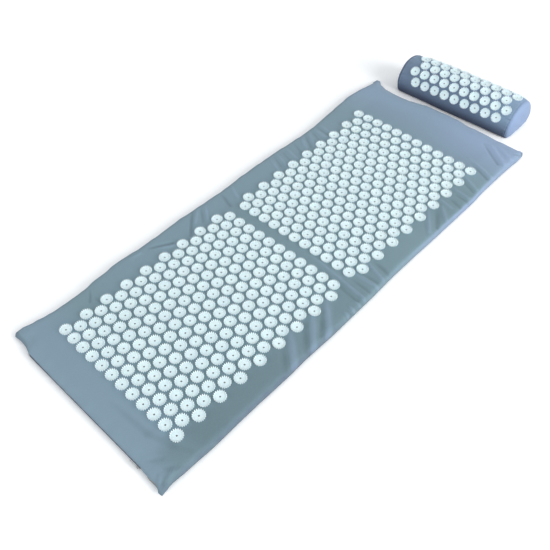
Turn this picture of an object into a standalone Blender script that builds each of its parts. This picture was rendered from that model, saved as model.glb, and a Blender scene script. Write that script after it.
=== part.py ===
"""Acupressure mat that folds in half, with its half-round neck pillow.

A zipped cotton cover holds two foam slabs, one each side of a fold. Its top carries two fields of
lotus discs, and the pillow's barrel carries a third. Units are metres, +Z is up, the origin is the
middle of the mat's underside and +Y points to the head end, where the pillow stands.
"""

import math

import bmesh
import bpy
from mathutils import Matrix, Vector
from mathutils.geometry import delaunay_2d_cdt

# Cover and foam
MAT_LENGTH = 1.300
MAT_WIDTH = 0.500
CLOTH = 0.001
FOAM_THICKNESS = 0.022
SEAT_GAP = 0.0003
OVERRUN = 0.002

# Rounded edge of the mat, between the crest of its top, the seam and the flat of its underside
SEAM_HEIGHT = 0.009
SIDE_REACH = 0.024
FOOT_REACH = 0.040
HEAD_REACH = 0.034
UNDER_REACH = 0.014
EDGE_POWER = 2.5
UPPER_RING_SHARES = (0.45, 0.75, 0.93, 1.0)
LOWER_RING_SHARES = (0.55, 1.0)

# Outline of the mat in plan
CORNER_RADIUS = 0.030
CORNER_RADIUS_LEAST = 0.006
CORNER_SHARES = (0.0, 0.3, 1.0, 0.3, 0.0)
DRAW_SHARES = (-0.5, 0.0, 0.5)
EAR_REACH = 0.018
EAR_FADE_POWER = 3
SLUMP_SHARE = 0.6
SIDE_DRAW = 0.0015
END_DRAW = 0.006
SIDE_STEPS = 4

# Fold between the two disc fields
FOLD_HALF_WIDTH = 0.009
FOLD_CLEARANCE = 0.001

# Lotus discs
DISC_RADIUS = 0.014
DISC_PLATE = 0.0020
SPIKE_HEIGHT = 0.0055
DISC_SIDES = 8
DISC_PITCH = 0.033
ROW_PITCH = 0.0286
FIELD_GAP = 0.0525
FIELD_LEFT_MARGIN = 0.066
FIELD_RIGHT_MARGIN = 0.042
FIELD_FOOT_MARGIN = 0.072
FIELD_HEAD_MARGIN = 0.174
FOOT_FIELD_SHIFT = -0.0023
PLAN_TOLERANCE = 0.0000001

# Zips
MAT_ZIP_MARGIN = 0.065
PILLOW_ZIP_MARGIN = 0.055
ZIP_SLOT = 0.006
ZIP_SLOT_END = 0.0075
ZIP_SLOT_TAPER = 0.008
ZIP_ROOM = 0.008
TAPE_THICKNESS = 0.0006
TAPE_WIDTH = 0.0045
TAPE_TAIL = 0.006
COIL_FRONT = 0.0003
COIL_DEPTH = 0.0020
COIL_SLIT = 0.0010
COIL_WIDTH = 0.0016
COIL_CHAMFER = 0.0004
STOP_LENGTH = 0.0025
SLIDER_LENGTH = 0.009
SLIDER_WIDTH = 0.0068
SLIDER_TAIL_WIDTH = 0.0048
SLIDER_SHOULDER_SHARE = 0.35
SLIDER_PLATE = 0.0012
SLIDER_INNER_PLATE = 0.0010
SLIDER_INNER_DEPTH = 0.0035
SLIDER_PARK = 0.0065
NECK_WIDTH = 0.0004
NECK_LENGTH = 0.0024
BAIL_SPACE = 0.0018
BAIL_POST = 0.0010
BAIL_WIDTH = 0.0018
BAIL_RISE = 0.0017
BAIL_ROOF = 0.0008
PULL_THICKNESS = 0.0010
PULL_PIN = 0.0010
PULL_WIDTH = 0.0050
PULL_WINDOW_WIDTH = 0.0026
PULL_WINDOW_LENGTH = 0.0025
PULL_LENGTH = 0.024
PULL_HOLE_RADIUS = 0.0013
PULL_HOLE_SETBACK = 0.0035
PULL_CORNER = 0.0012
HOLE_SIDES = 10

# Neck pillow
PILLOW_LENGTH = 0.361
PILLOW_RADIUS = 0.0633
PILLOW_AXIS_HEIGHT = 0.0275
PILLOW_X = -0.0045
PILLOW_SPACING = 0.0254
PILLOW_DRAW = 0.0025
PILLOW_DRAW_POWER = 8
PILLOW_BULGE = 0.004
BULGE_RING_SHARES = (0.82, 0.5)
BULGE_HEIGHT_SHARES = (0.55, 0.9)
PILLOW_ARC_STEPS = 14
BASE_ARC_STEPS = 3
PILLOW_LEFT_MARGIN = 0.027
PILLOW_RIGHT_MARGIN = 0.008
PILLOW_ROW_DEG = 24.2
PILLOW_FIRST_ROW_DEG = 24.0
PILLOW_ROWS = 6
PLAIN_ARC_DEGS = (-12.0, 0.0, 166.0)
GROOVE_DEPTH = 0.005
GROOVE_HALF_HEIGHT = 0.005

# Places and sizes that follow from those above
FOLD_Y = (FIELD_FOOT_MARGIN - FIELD_HEAD_MARGIN) / 2
FIELD_X = (FIELD_LEFT_MARGIN - FIELD_RIGHT_MARGIN) / 2
PILLOW_FIELD_X = (PILLOW_LEFT_MARGIN - PILLOW_RIGHT_MARGIN) / 2
MAT_TOP = FOAM_THICKNESS + 2 * (CLOTH + SEAT_GAP)
FOAM_OFFSET = CLOTH + SEAT_GAP
FOLD_AXIS_HEIGHT = MAT_TOP + SPIKE_HEIGHT + FOLD_CLEARANCE / 2
COIL_HALF = COIL_SLIT / 2 + COIL_WIDTH
PILLOW_Y = MAT_LENGTH / 2 + PILLOW_SPACING + math.sqrt(PILLOW_RADIUS**2 - PILLOW_AXIS_HEIGHT**2)

# Colours, as linear red, green and blue, then roughness and metallic
COTTON = ((0.205, 0.285, 0.365), 0.85, 0.0)
FOAM = ((0.78, 0.77, 0.70), 0.95, 0.0)
ZIP_TAPE = ((0.120, 0.165, 0.220), 0.80, 0.0)
ZIP_COIL = ((0.105, 0.145, 0.190), 0.45, 0.0)
ZIP_METAL = ((0.52, 0.53, 0.55), 0.35, 1.0)


def clear_scene():
    """Removes whatever the scene held before."""
    for old in list(bpy.data.objects):
        bpy.data.objects.remove(old, do_unlink=True)


def material(label, finish):
    """A Principled material, made once for each label."""
    made = bpy.data.materials.get(label)
    if made is None:
        made = bpy.data.materials.new(label)
        made.use_nodes = True
        colour, roughness, metallic = finish
        shader = made.node_tree.nodes["Principled BSDF"]
        shader.inputs["Base Color"].default_value = (*colour, 1.0)
        shader.inputs["Roughness"].default_value = roughness
        shader.inputs["Metallic"].default_value = metallic
    return made


def add_object(name, bm, label, finish, smooth_deg=40.0):
    """Turns a bmesh into a named object with its material, facing outwards and shaded smooth."""
    bmesh.ops.recalc_face_normals(bm, faces=bm.faces)
    mesh = bpy.data.meshes.new(name)
    bm.to_mesh(mesh)
    bm.free()
    mesh.materials.append(material(label, finish))
    mesh.shade_smooth()
    mesh.set_sharp_from_angle(angle=math.radians(smooth_deg))
    made = bpy.data.objects.new(name, mesh)
    bpy.context.collection.objects.link(made)
    return made


def vertex_row(bm, points):
    """One new vertex for each point."""
    return [bm.verts.new(point) for point in points]


def bridge(bm, first, second, closed=False):
    """Quads between two rows of vertices of the same count."""
    count = len(first)
    for i in range(count if closed else count - 1):
        j = (i + 1) % count
        bm.faces.new((first[i], first[j], second[j], second[i]))


def bridge_rows(bm, rows, closed=False):
    """Quads between each row of vertices and the next."""
    for first, second in zip(rows, rows[1:]):
        bridge(bm, first, second, closed)


def shell(bm, outer, inner):
    """Closes two open grids of vertices, which match, into one wall."""
    bridge_rows(bm, outer)
    bridge_rows(bm, inner)
    bridge(bm, outer[0], inner[0])
    bridge(bm, outer[-1], inner[-1])
    for side in (0, -1):
        bridge(bm, [row[side] for row in outer], [row[side] for row in inner])


def prism_along_x(section, x_low, x_high):
    """A closed bmesh: a section of (y, z) points extruded along X."""
    bm = bmesh.new()
    low = vertex_row(bm, [(x_low, y, z) for y, z in section])
    high = vertex_row(bm, [(x_high, y, z) for y, z in section])
    bridge(bm, low, high, closed=True)
    bm.faces.new(low)
    bm.faces.new(high)
    return bm


def prism_along_y(plan, y_low, y_high):
    """A closed bmesh: a plan of (x, z) points extruded along Y."""
    bm = bmesh.new()
    low = vertex_row(bm, [(x, y_low, z) for x, z in plan])
    high = vertex_row(bm, [(x, y_high, z) for x, z in plan])
    bridge(bm, low, high, closed=True)
    bm.faces.new(low)
    bm.faces.new(high)
    return bm


def cut_or_join(target, others, operation):
    """Applies Boolean modifiers of one kind to an object and removes the helpers."""
    for other in others:
        modifier = target.modifiers.new(operation.title(), "BOOLEAN")
        modifier.operation = operation
        modifier.object = other
        modifier.solver = "EXACT"
    bpy.context.view_layer.update()
    result = target.evaluated_get(bpy.context.evaluated_depsgraph_get())
    mesh = bpy.data.meshes.new_from_object(result)
    target.modifiers.clear()
    target.data = mesh
    for other in others:
        bpy.data.objects.remove(other, do_unlink=True)


# The mat's rounded edge, as rings that follow its outline


def inset_share(height_share):
    """How far in the edge stands at a share of its height, from 0 at the seam to 1 at the crest."""
    return 1 - (1 - height_share**EDGE_POWER) ** (1 / EDGE_POWER)


def drawn_in(x, y):
    """Moves a point of the outline in, most at the middle of each long side and of the head end."""
    side_share = math.cos(math.pi * y / MAT_LENGTH)
    end_share = max(y, 0) * 2 / MAT_LENGTH * math.cos(math.pi * x / MAT_WIDTH)
    return x * (1 - 2 * SIDE_DRAW / MAT_WIDTH * side_share), y - END_DRAW * end_share


def slot_stations(half_length):
    """Places along a seam where its zip slot starts and ends, on both sides of the middle."""
    slot = half_length + ZIP_SLOT_END
    return (-slot - ZIP_SLOT_TAPER, -slot, slot, slot + ZIP_SLOT_TAPER)


def slot_half_height(x, half_length):
    """Half the opening between the two lips of a seam: wide at the zip, closed beyond it."""
    return ZIP_SLOT / 2 if abs(x) < half_length + ZIP_SLOT_END + ZIP_SLOT_TAPER / 2 else SEAT_GAP / 2


def mat_zip_half():
    return MAT_WIDTH / 2 - MAT_ZIP_MARGIN


def half_outline(end, side_inset, end_inset, ear):
    """Plan points of one half, from the fold along the left side, its end and the right side back.

    Each is (x, y, corner share, half height of the seam's opening). end is -1 at the foot, 1 at the head.
    """
    half_width = MAT_WIDTH / 2 - side_inset
    half_length = MAT_LENGTH / 2 - end_inset
    radius_x = max(CORNER_RADIUS - side_inset, CORNER_RADIUS_LEAST)
    radius_y = max(CORNER_RADIUS - end_inset, CORNER_RADIUS_LEAST)
    cut = FOLD_Y + end * (FOLD_HALF_WIDTH + SEAT_GAP / 2)
    corner_y = end * (half_length - radius_y)
    corner_x = half_width - radius_x
    side = [cut + (corner_y - cut) * step / SIDE_STEPS for step in range(SIDE_STEPS)]
    left = [(-half_width, y, 0.0) for y in side]
    for step, share in enumerate(CORNER_SHARES):
        angle = math.pi / 2 * step / (len(CORNER_SHARES) - 1)
        x = -corner_x - (radius_x + ear * share) * math.cos(angle)
        y = corner_y + end * (radius_y + ear * share) * math.sin(angle)
        left.append((x, y, share))
    stations = slot_stations(mat_zip_half()) if end < 0 else [corner_x * share for share in DRAW_SHARES]
    middle = [(x, end * half_length, 0.0) for x in stations]
    right = [(-x, y, share) for x, y, share in reversed(left)]
    points = []
    for x, y, share in left + middle + right:
        at_end = abs(y) >= half_length - PLAN_TOLERANCE
        opening = slot_half_height(x, mat_zip_half()) if end < 0 and at_end else SEAT_GAP / 2
        points.append((*drawn_in(x, y), share, opening))
    return points


def edge_ring(end, upper, offset, share, end_room=0.0, ear_reach=EAR_REACH):
    """One ring of the edge at a share of the height from the seam to the crest.

    offset is how deep the surface lies under the outside of the cover.
    """
    end_reach = (FOOT_REACH if end < 0 else HEAD_REACH) if upper else UNDER_REACH
    side_reach = SIDE_REACH if upper else UNDER_REACH
    rise = (MAT_TOP if upper else 2 * SEAM_HEIGHT) - SEAM_HEIGHT - offset
    side_inset = offset + (side_reach - offset) * inset_share(share)
    end_inset = offset + (end_reach - offset) * inset_share(share) + end_room
    ear = ear_reach * (1 - share) ** EAR_FADE_POWER
    direction = 1 if upper else -1
    ring = []
    for x, y, corner, opening in half_outline(end, side_inset, end_inset, ear):
        height = rise * share * (1 - SLUMP_SHARE * corner * (1 - share))
        if share == 0 and ear_reach:
            height = opening
        ring.append(Vector((x, y, SEAM_HEIGHT + direction * height)))
    return ring


def panel_rings(end, upper, offset):
    """The rings of one skin of a cover panel, from its lip at the seam to its flat."""
    shares = UPPER_RING_SHARES if upper else LOWER_RING_SHARES
    return [edge_ring(end, upper, offset, share) for share in (0.0, *shares)]


# Lotus discs and the cloth that carries them


def disc_outline():
    """Corners of a disc's plate, about its middle."""
    turns = [2 * math.pi * (corner + 0.5) / DISC_SIDES for corner in range(DISC_SIDES)]
    return [(DISC_RADIUS * math.cos(turn), DISC_RADIUS * math.sin(turn)) for turn in turns]


def add_disc(bm, foot, centre):
    """A dished plate with a crown of spikes, standing on the ring of vertices at its foot.

    centre is (point, along, across, out): the middle of the plate's underside and its three directions.
    """
    point, along, across, out = centre
    crown = []
    for corner, (p, q) in enumerate(disc_outline()):
        height = SPIKE_HEIGHT if corner % 2 == 0 else DISC_PLATE
        crown.append(bm.verts.new(point + along * p + across * q + out * height))
    bridge(bm, foot, crown, closed=True)
    middle = bm.verts.new(point + out * DISC_PLATE)
    for corner in range(DISC_SIDES):
        bm.faces.new((crown[corner], crown[(corner + 1) % DISC_SIDES], middle))


def fill_with_discs(bm, border, spares, centres, surface):
    """Fills a border of vertices with cloth, and puts a disc on it at each centre.

    border is a list of (vertex, (u, v)); spares are more (u, v) places for the cloth to bend at;
    surface turns (u, v) into (point, along, across, out).
    """
    area = sum(a[1][0] * b[1][1] - b[1][0] * a[1][1] for a, b in zip(border, border[1:] + border[:1]))
    if area < 0:
        border = border[::-1]
    places = [Vector(uv) for _, uv in border]
    loops = [list(range(len(places)))]
    for u, v in centres:
        loops.append(list(range(len(places), len(places) + DISC_SIDES)))
        places += [Vector((u + p, v + q)) for p, q in disc_outline()]
    places += [Vector(uv) for uv in spares]
    edges = [(loop[i - 1], loop[i]) for loop in loops for i in range(len(loop))]
    found, _, faces, found_from, _, faces_from = delaunay_2d_cdt(places, edges, loops, 1, PLAN_TOLERANCE)
    vertex_at = {}
    made = []
    for place, sources in zip(found, found_from):
        if sources[0] < len(border):
            vertex = border[sources[0]][0]
        else:
            vertex = bm.verts.new(surface(place.x, place.y)[0])
        made.append(vertex)
        for source in sources:
            vertex_at[source] = vertex
    for corners, sources in zip(faces, faces_from):
        if max(sources) == 0:
            bm.faces.new([made[corner] for corner in corners])
    for (u, v), loop in zip(centres, loops[1:]):
        add_disc(bm, [vertex_at[source] for source in loop], surface(u, v))


def discs_between(space, first_margin, last_margin, pitch):
    """How many discs of a row, or rows of discs, fit between two margins."""
    return int((space - first_margin - last_margin - 2 * DISC_RADIUS) / pitch) + 1


def field_centres(end):
    """Middles of one field's discs: rows of one fewer and one more disc, from the fold outwards."""
    ends = MAT_LENGTH - FIELD_GAP
    rows = discs_between(ends, FIELD_FOOT_MARGIN, FIELD_HEAD_MARGIN, 2 * ROW_PITCH)
    columns = discs_between(MAT_WIDTH, FIELD_LEFT_MARGIN, FIELD_RIGHT_MARGIN, DISC_PITCH)
    shift = FIELD_X + (FOOT_FIELD_SHIFT if end < 0 else 0.0)
    centres = []
    for row in range(rows):
        count = columns if row % 2 else columns - 1
        y = FOLD_Y + end * (FIELD_GAP / 2 + row * ROW_PITCH)
        for column in range(count):
            centres.append((shift + (column - (count - 1) / 2) * DISC_PITCH, y))
    return centres


def mat_surface(u, v):
    """The flat of the mat's top."""
    return Vector((u, v, MAT_TOP)), Vector((1, 0, 0)), Vector((0, 1, 0)), Vector((0, 0, 1))


# Pieces of the mat


def cover_half(name, end, upper):
    """The top or bottom panel of one half: a tray of cloth with rounded edges and eared corners."""
    bm = bmesh.new()
    outer = [vertex_row(bm, ring) for ring in panel_rings(end, upper, 0.0)]
    inner = [vertex_row(bm, ring) for ring in panel_rings(end, upper, CLOTH)]
    bridge_rows(bm, outer)
    bridge_rows(bm, inner)
    bridge(bm, outer[0], inner[0])
    for side in (0, -1):
        bridge(bm, [row[side] for row in outer], [row[side] for row in inner])
    crest_outer, crest_inner = outer[-1], inner[-1]
    bm.faces.new((crest_outer[0], crest_outer[-1], crest_inner[-1], crest_inner[0]))
    bm.faces.new(crest_inner)
    if upper:
        border = [(vertex, tuple(vertex.co.xy)) for vertex in crest_outer]
        fill_with_discs(bm, border, (), field_centres(end), mat_surface)
    else:
        bm.faces.new(crest_outer)
    add_object(name, bm, "cotton", COTTON)


def fold_section(end, upper, offset):
    """Section of the cover at the fold on one side of it, from lip to lip."""
    rings = panel_rings(end, upper, offset)
    left = [ring[0] for ring in rings]
    right = [ring[-1] for ring in reversed(rings)]
    y = FOLD_Y + end * (FOLD_HALF_WIDTH - SEAT_GAP / 2)
    return [Vector((point.x, y, point.z)) for point in left + right]


def cover_fold(name, upper):
    """The strip of the cover that bends when the mat is folded."""
    bm = bmesh.new()
    outer = [vertex_row(bm, fold_section(end, upper, 0.0)) for end in (-1, 1)]
    inner = [vertex_row(bm, fold_section(end, upper, CLOTH)) for end in (-1, 1)]
    shell(bm, outer, inner)
    add_object(name, bm, "cotton", COTTON)


def foam_half(name, end):
    """A foam slab that fills its half of the cover and stops short of the zip."""
    room = ZIP_ROOM if end < 0 else 0.0
    bm = bmesh.new()
    lower = [edge_ring(end, False, FOAM_OFFSET, share, room, 0.0) for share in reversed(LOWER_RING_SHARES)]
    upper = [edge_ring(end, True, FOAM_OFFSET, share, room, 0.0) for share in (0.0, *UPPER_RING_SHARES)]
    rings = [vertex_row(bm, ring) for ring in lower + upper]
    bridge_rows(bm, rings, closed=True)
    bm.faces.new(rings[0])
    bm.faces.new(rings[-1])
    add_object(name, bm, "foam", FOAM)


# Zips. Each is modelled lying along X with its outside towards -Y, then turned and placed


def place(made, spot, turn):
    """Puts a zip piece at its seam."""
    made.location = spot
    made.rotation_euler = (0.0, 0.0, turn)
    return made


def zip_coils(prefix, half_length, spot, turn):
    """The two rows of the closed chain, with the slit that the slider's neck runs in."""
    low, high = COIL_SLIT / 2, COIL_HALF
    front, back = COIL_FRONT, COIL_FRONT + COIL_DEPTH
    for name, side in (("upper", 1), ("lower", -1)):
        section = [
            (front + COIL_CHAMFER, side * low),
            (back - COIL_CHAMFER, side * low),
            (back, side * (low + COIL_CHAMFER)),
            (back, side * high),
            (front, side * high),
            (front, side * (low + COIL_CHAMFER)),
        ]
        bm = prism_along_x(section, -half_length, half_length)
        place(add_object(f"{prefix}_coil_{name}", bm, "zip_coil", ZIP_COIL), spot, turn)


def zip_stops(prefix, half_length, spot, turn):
    """The stops that close both ends of the chain."""
    front, back = COIL_FRONT, COIL_FRONT + COIL_DEPTH
    section = [(front, -COIL_HALF), (back, -COIL_HALF), (back, COIL_HALF), (front, COIL_HALF)]
    start = half_length + SEAT_GAP
    bm = prism_along_x(section, start, start + STOP_LENGTH)
    place(add_object(f"{prefix}_top_stop", bm, "zip_metal", ZIP_METAL), spot, turn)
    bm = prism_along_x(section, -start - STOP_LENGTH, -start)
    place(add_object(f"{prefix}_bottom_stop", bm, "zip_metal", ZIP_METAL), spot, turn)


def slider_plan(half_length, half_width, tail_half_width):
    """Plan of a slider's plate: broad shoulders, a blunt nose and a narrow tail."""
    shoulder = half_length * SLIDER_SHOULDER_SHARE
    return [
        (-half_length, -tail_half_width),
        (shoulder, -half_width),
        (half_length, -tail_half_width),
        (half_length, tail_half_width),
        (shoulder, half_width),
        (-half_length, tail_half_width),
    ]


def box_plan(x_low, x_high, half_width):
    return [(x_low, -half_width), (x_high, -half_width), (x_high, half_width), (x_low, half_width)]


def zip_slider(name, park, spot, turn):
    """The slider: an outer and an inner plate, the neck between them and the bail for the pull."""
    half = SLIDER_LENGTH / 2
    face = -SEAT_GAP - SLIDER_PLATE
    under = SLIDER_INNER_DEPTH
    plan = slider_plan(half, SLIDER_WIDTH / 2, SLIDER_TAIL_WIDTH / 2)
    inner_plan = slider_plan(half - SLIDER_PLATE / 2, SLIDER_WIDTH / 2, SLIDER_TAIL_WIDTH / 2)
    body = add_object(name, prism_along_y(plan, face, -SEAT_GAP), "zip_metal", ZIP_METAL)
    reach = BAIL_SPACE / 2 + BAIL_POST
    top = face - BAIL_RISE
    pieces = [
        prism_along_y(inner_plan, under, under + SLIDER_INNER_PLATE),
        prism_along_y(
            box_plan(-NECK_LENGTH / 2, NECK_LENGTH / 2, NECK_WIDTH / 2),
            face + SLIDER_PLATE / 2,
            under + SLIDER_INNER_PLATE / 2,
        ),
        prism_along_y(box_plan(-reach, reach, BAIL_WIDTH / 2), top - BAIL_ROOF, face + SLIDER_PLATE / 2),
    ]
    helpers = [add_object(f"{name}_piece", bm, "zip_metal", ZIP_METAL) for bm in pieces]
    cut_or_join(body, helpers, "UNION")
    tunnel = prism_along_y(box_plan(-BAIL_SPACE / 2, BAIL_SPACE / 2, BAIL_WIDTH / 2 + OVERRUN), top, face)
    cut_or_join(body, [add_object(f"{name}_tunnel", tunnel, "zip_metal", ZIP_METAL)], "DIFFERENCE")
    body.data.transform(Matrix.Translation((park, 0.0, 0.0)))
    return place(body, spot, turn)


def pin_depth():
    """How far outside the seam's face the pull's pin lies."""
    return SEAT_GAP + SLIDER_PLATE + BAIL_RISE / 2


def zip_pull(name, park, spot, turn):
    """The pull: a tab whose end bar lies under the slider's bail, with a grip hole."""
    back, front = -pin_depth() + PULL_THICKNESS / 2, -pin_depth() - PULL_THICKNESS / 2
    width, pin, corner = PULL_WIDTH / 2, PULL_PIN / 2, PULL_CORNER
    far = pin - PULL_LENGTH
    plan = [
        (pin, -width),
        (pin, width),
        (far + corner, width),
        (far, width - corner),
        (far, -width + corner),
        (far + corner, -width),
    ]
    tab = add_object(name, prism_along_y(plan, front, back), "zip_metal", ZIP_METAL)
    window = box_plan(-pin - PULL_WINDOW_LENGTH, -pin, PULL_WINDOW_WIDTH / 2)
    turns = [2 * math.pi * (side + 0.5) / HOLE_SIDES for side in range(HOLE_SIDES)]
    hole = [
        (far + PULL_HOLE_SETBACK + PULL_HOLE_RADIUS * math.cos(a), PULL_HOLE_RADIUS * math.sin(a))
        for a in turns
    ]
    cutters = [
        add_object(f"{name}_cut", prism_along_y(cut, front - OVERRUN, back + OVERRUN), "zip_metal", ZIP_METAL)
        for cut in (window, hole)
    ]
    cut_or_join(tab, cutters, "DIFFERENCE")
    tab.data.transform(Matrix.Translation((0.0, pin_depth(), 0.0)))
    direction = 1 if turn == 0 else -1
    pin_spot = (spot[0] + direction * park, spot[1] - direction * pin_depth(), spot[2])
    return place(tab, pin_spot, turn)


def zip_hardware(prefix, half_length, spot, turn):
    """Chain, stops, slider and pull of one zip, with the slider parked at its closed end."""
    park = half_length - SLIDER_PARK
    zip_coils(prefix, half_length, spot, turn)
    zip_stops(prefix, half_length, spot, turn)
    zip_slider(f"{prefix}_slider", park, spot, turn)
    zip_pull(f"{prefix}_pull", park, spot, turn)


def foot_section(upper, offset, share):
    """The point of the foot edge's section at a share of its height, between two of its rings."""
    shares = (0.0, *(UPPER_RING_SHARES if upper else LOWER_RING_SHARES))
    reach = FOOT_REACH if upper else UNDER_REACH
    rise = (MAT_TOP if upper else 2 * SEAM_HEIGHT) - SEAM_HEIGHT - offset
    low, high = next(pair for pair in zip(shares, shares[1:]) if share <= pair[1])
    mix = (share - low) / (high - low)
    inset = offset + (reach - offset) * (inset_share(low) * (1 - mix) + inset_share(high) * mix)
    return inset - MAT_LENGTH / 2, SEAM_HEIGHT + (rise * share if upper else -rise * share)


def mat_tape(name, upper):
    """A zip tape that lies against the inside of the mat's foot edge."""
    rise = (MAT_TOP if upper else 2 * SEAM_HEIGHT) - SEAM_HEIGHT - FOAM_OFFSET
    bend = UPPER_RING_SHARES[0] if upper else LOWER_RING_SHARES[0]
    shares = ((COIL_HALF + SEAT_GAP) / rise, bend, (COIL_HALF + SEAT_GAP + TAPE_WIDTH) / rise)
    section = [foot_section(upper, FOAM_OFFSET, share) for share in shares]
    section += [foot_section(upper, FOAM_OFFSET + TAPE_THICKNESS, share) for share in reversed(shares)]
    half = mat_zip_half() + TAPE_TAIL
    add_object(name, prism_along_x(section, -half, half), "zip_tape", ZIP_TAPE)


def build_mat():
    """Both halves, the fold between them and the zip at the foot end."""
    for half, end in (("foot", -1), ("head", 1)):
        cover_half(f"top_panel_{half}", end, True)
        cover_half(f"bottom_panel_{half}", end, False)
        foam_half(f"foam_{half}", end)
    cover_fold("top_panel_fold", True)
    cover_fold("bottom_panel_fold", False)
    mat_tape("mat_zip_tape_upper", True)
    mat_tape("mat_zip_tape_lower", False)
    zip_hardware("mat_zip", mat_zip_half(), (0.0, -MAT_LENGTH / 2, SEAM_HEIGHT), 0.0)


# Pieces of the pillow. Angles go round its axis from the front, over the top, to the back


def pillow_radius(x, offset):
    """Radius of the barrel, drawn in towards its ends."""
    return PILLOW_RADIUS - PILLOW_DRAW * abs(2 * x / PILLOW_LENGTH) ** PILLOW_DRAW_POWER - offset


def pillow_point(x, angle, offset):
    """A point of the barrel, x from the pillow's middle."""
    radius = pillow_radius(x, offset)
    y = PILLOW_Y - radius * math.cos(angle)
    return Vector((PILLOW_X + x, y, PILLOW_AXIS_HEIGHT + radius * math.sin(angle)))


def angle_at_height(x, offset, height):
    """Angle below the axis at which the barrel's front stands at a height."""
    return math.asin((height - PILLOW_AXIS_HEIGHT) / pillow_radius(x, offset))


def pillow_zip_half():
    return PILLOW_LENGTH / 2 - PILLOW_ZIP_MARGIN


def pillow_stations():
    """Places along the pillow where its panels bend."""
    end = PILLOW_LENGTH / 2 - CLOTH - SEAT_GAP
    return (-end, *slot_stations(pillow_zip_half()), end)


def slot_angle(x, offset):
    """Half the angle that the back seam's opening takes at x."""
    return math.asin(slot_half_height(x, pillow_zip_half()) / pillow_radius(x, offset))


def barrel_angles(x, offset):
    """Angles of the barrel panel's points at x, from its front lip to its lip at the zip."""
    start = angle_at_height(x, offset, FOAM_OFFSET)
    stop = math.pi - slot_angle(x, offset)
    return [start + (stop - start) * step / PILLOW_ARC_STEPS for step in range(PILLOW_ARC_STEPS + 1)]


def barrel_surface(u, v):
    """The outside of the barrel at u along it and v round it, as the length of the arc."""
    angle = v / PILLOW_RADIUS
    out = Vector((0, -math.cos(angle), math.sin(angle)))
    across = Vector((0, math.sin(angle), math.cos(angle)))
    return pillow_point(u, angle, 0.0), Vector((1, 0, 0)), across, out


def pillow_centres():
    """Middles of the pillow's discs, as lengths along and round the barrel."""
    columns = discs_between(PILLOW_LENGTH, PILLOW_LEFT_MARGIN, PILLOW_RIGHT_MARGIN, DISC_PITCH)
    centres = []
    for row in range(PILLOW_ROWS):
        count = columns if row % 2 else columns - 1
        arc = math.radians(PILLOW_FIRST_ROW_DEG + row * PILLOW_ROW_DEG) * PILLOW_RADIUS
        for column in range(count):
            centres.append((PILLOW_FIELD_X + (column - (count - 1) / 2) * DISC_PITCH, arc))
    return centres


def pillow_barrel():
    """The barrel panel: cloth from the front of the base over the top to the zip, with its discs."""
    bm = bmesh.new()
    stations = pillow_stations()
    inner = [
        vertex_row(bm, [pillow_point(x, angle, CLOTH) for angle in barrel_angles(x, CLOTH)])
        for x in stations
    ]
    bridge_rows(bm, inner)
    angles = [barrel_angles(x, 0.0) for x in stations]
    front = [(x, row[0]) for x, row in zip(stations, angles)]
    right = [(stations[-1], angle) for angle in angles[-1]]
    back = [(x, row[-1]) for x, row in zip(stations, angles)]
    left = [(stations[0], angle) for angle in angles[0]]
    loop = front[:-1] + right[:-1] + back[:0:-1] + left[:0:-1]
    border = [
        (bm.verts.new(pillow_point(x, angle, 0.0)), (x, angle * PILLOW_RADIUS)) for x, angle in loop
    ]
    arcs = [math.radians(deg) * PILLOW_RADIUS for deg in PLAIN_ARC_DEGS]
    spares = [(x, arc) for arc in arcs for x in stations[1:-1]]
    fill_with_discs(bm, border, spares, pillow_centres(), barrel_surface)
    outer_loop = [vertex for vertex, _ in border]
    inner_loop = (
        [row[0] for row in inner[:-1]]
        + inner[-1][:-1]
        + [row[-1] for row in inner[:0:-1]]
        + inner[0][:0:-1]
    )
    bridge(bm, outer_loop, inner_loop, closed=True)
    add_object("pillow_barrel", bm, "cotton", COTTON)


def base_angles(x, offset):
    """Angles of the base panel's points up the pillow's back, from its rear edge to the zip."""
    corner = math.pi - angle_at_height(x, offset, offset)
    stop = math.pi + slot_angle(x, offset)
    return [corner + (stop - corner) * step / BASE_ARC_STEPS for step in range(BASE_ARC_STEPS + 1)]


def base_section(x, offset):
    """Section of the base panel at x: flat under the pillow, then up its back to the zip."""
    front = angle_at_height(x, 0.0, offset)
    return [pillow_point(x, front, 0.0)] + [pillow_point(x, a, offset) for a in base_angles(x, offset)]


def pillow_base():
    """The base panel, which the pillow stands on."""
    bm = bmesh.new()
    outer = [vertex_row(bm, base_section(x, 0.0)) for x in pillow_stations()]
    inner = [vertex_row(bm, base_section(x, CLOTH)) for x in pillow_stations()]
    shell(bm, outer, inner)
    add_object("pillow_base", bm, "cotton", COTTON)


def end_loop(x):
    """Outline of the pillow's end, from the front of its flat over the top and back along the flat."""
    start = angle_at_height(x, 0.0, 0.0)
    stop = math.pi - start
    steps = range(PILLOW_ARC_STEPS + 1)
    return [pillow_point(x, start + (stop - start) * step / PILLOW_ARC_STEPS, 0.0) for step in steps]


def foam_loop(x):
    """Outline of the foam core at x, with the hollow that it leaves behind the zip."""
    bend = math.asin(GROOVE_HALF_HEIGHT / PILLOW_RADIUS)
    front = [angle_at_height(x, FOAM_OFFSET, FOAM_OFFSET)] + barrel_angles(x, FOAM_OFFSET)[1:-1]
    back = base_angles(x, FOAM_OFFSET)[-2::-1]
    hollow = [math.pi - bend, math.pi + bend]
    points = [pillow_point(x, angle, FOAM_OFFSET) for angle in front]
    points += [pillow_point(x, angle, FOAM_OFFSET + GROOVE_DEPTH) for angle in hollow]
    return points + [pillow_point(x, angle, FOAM_OFFSET) for angle in back]


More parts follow.
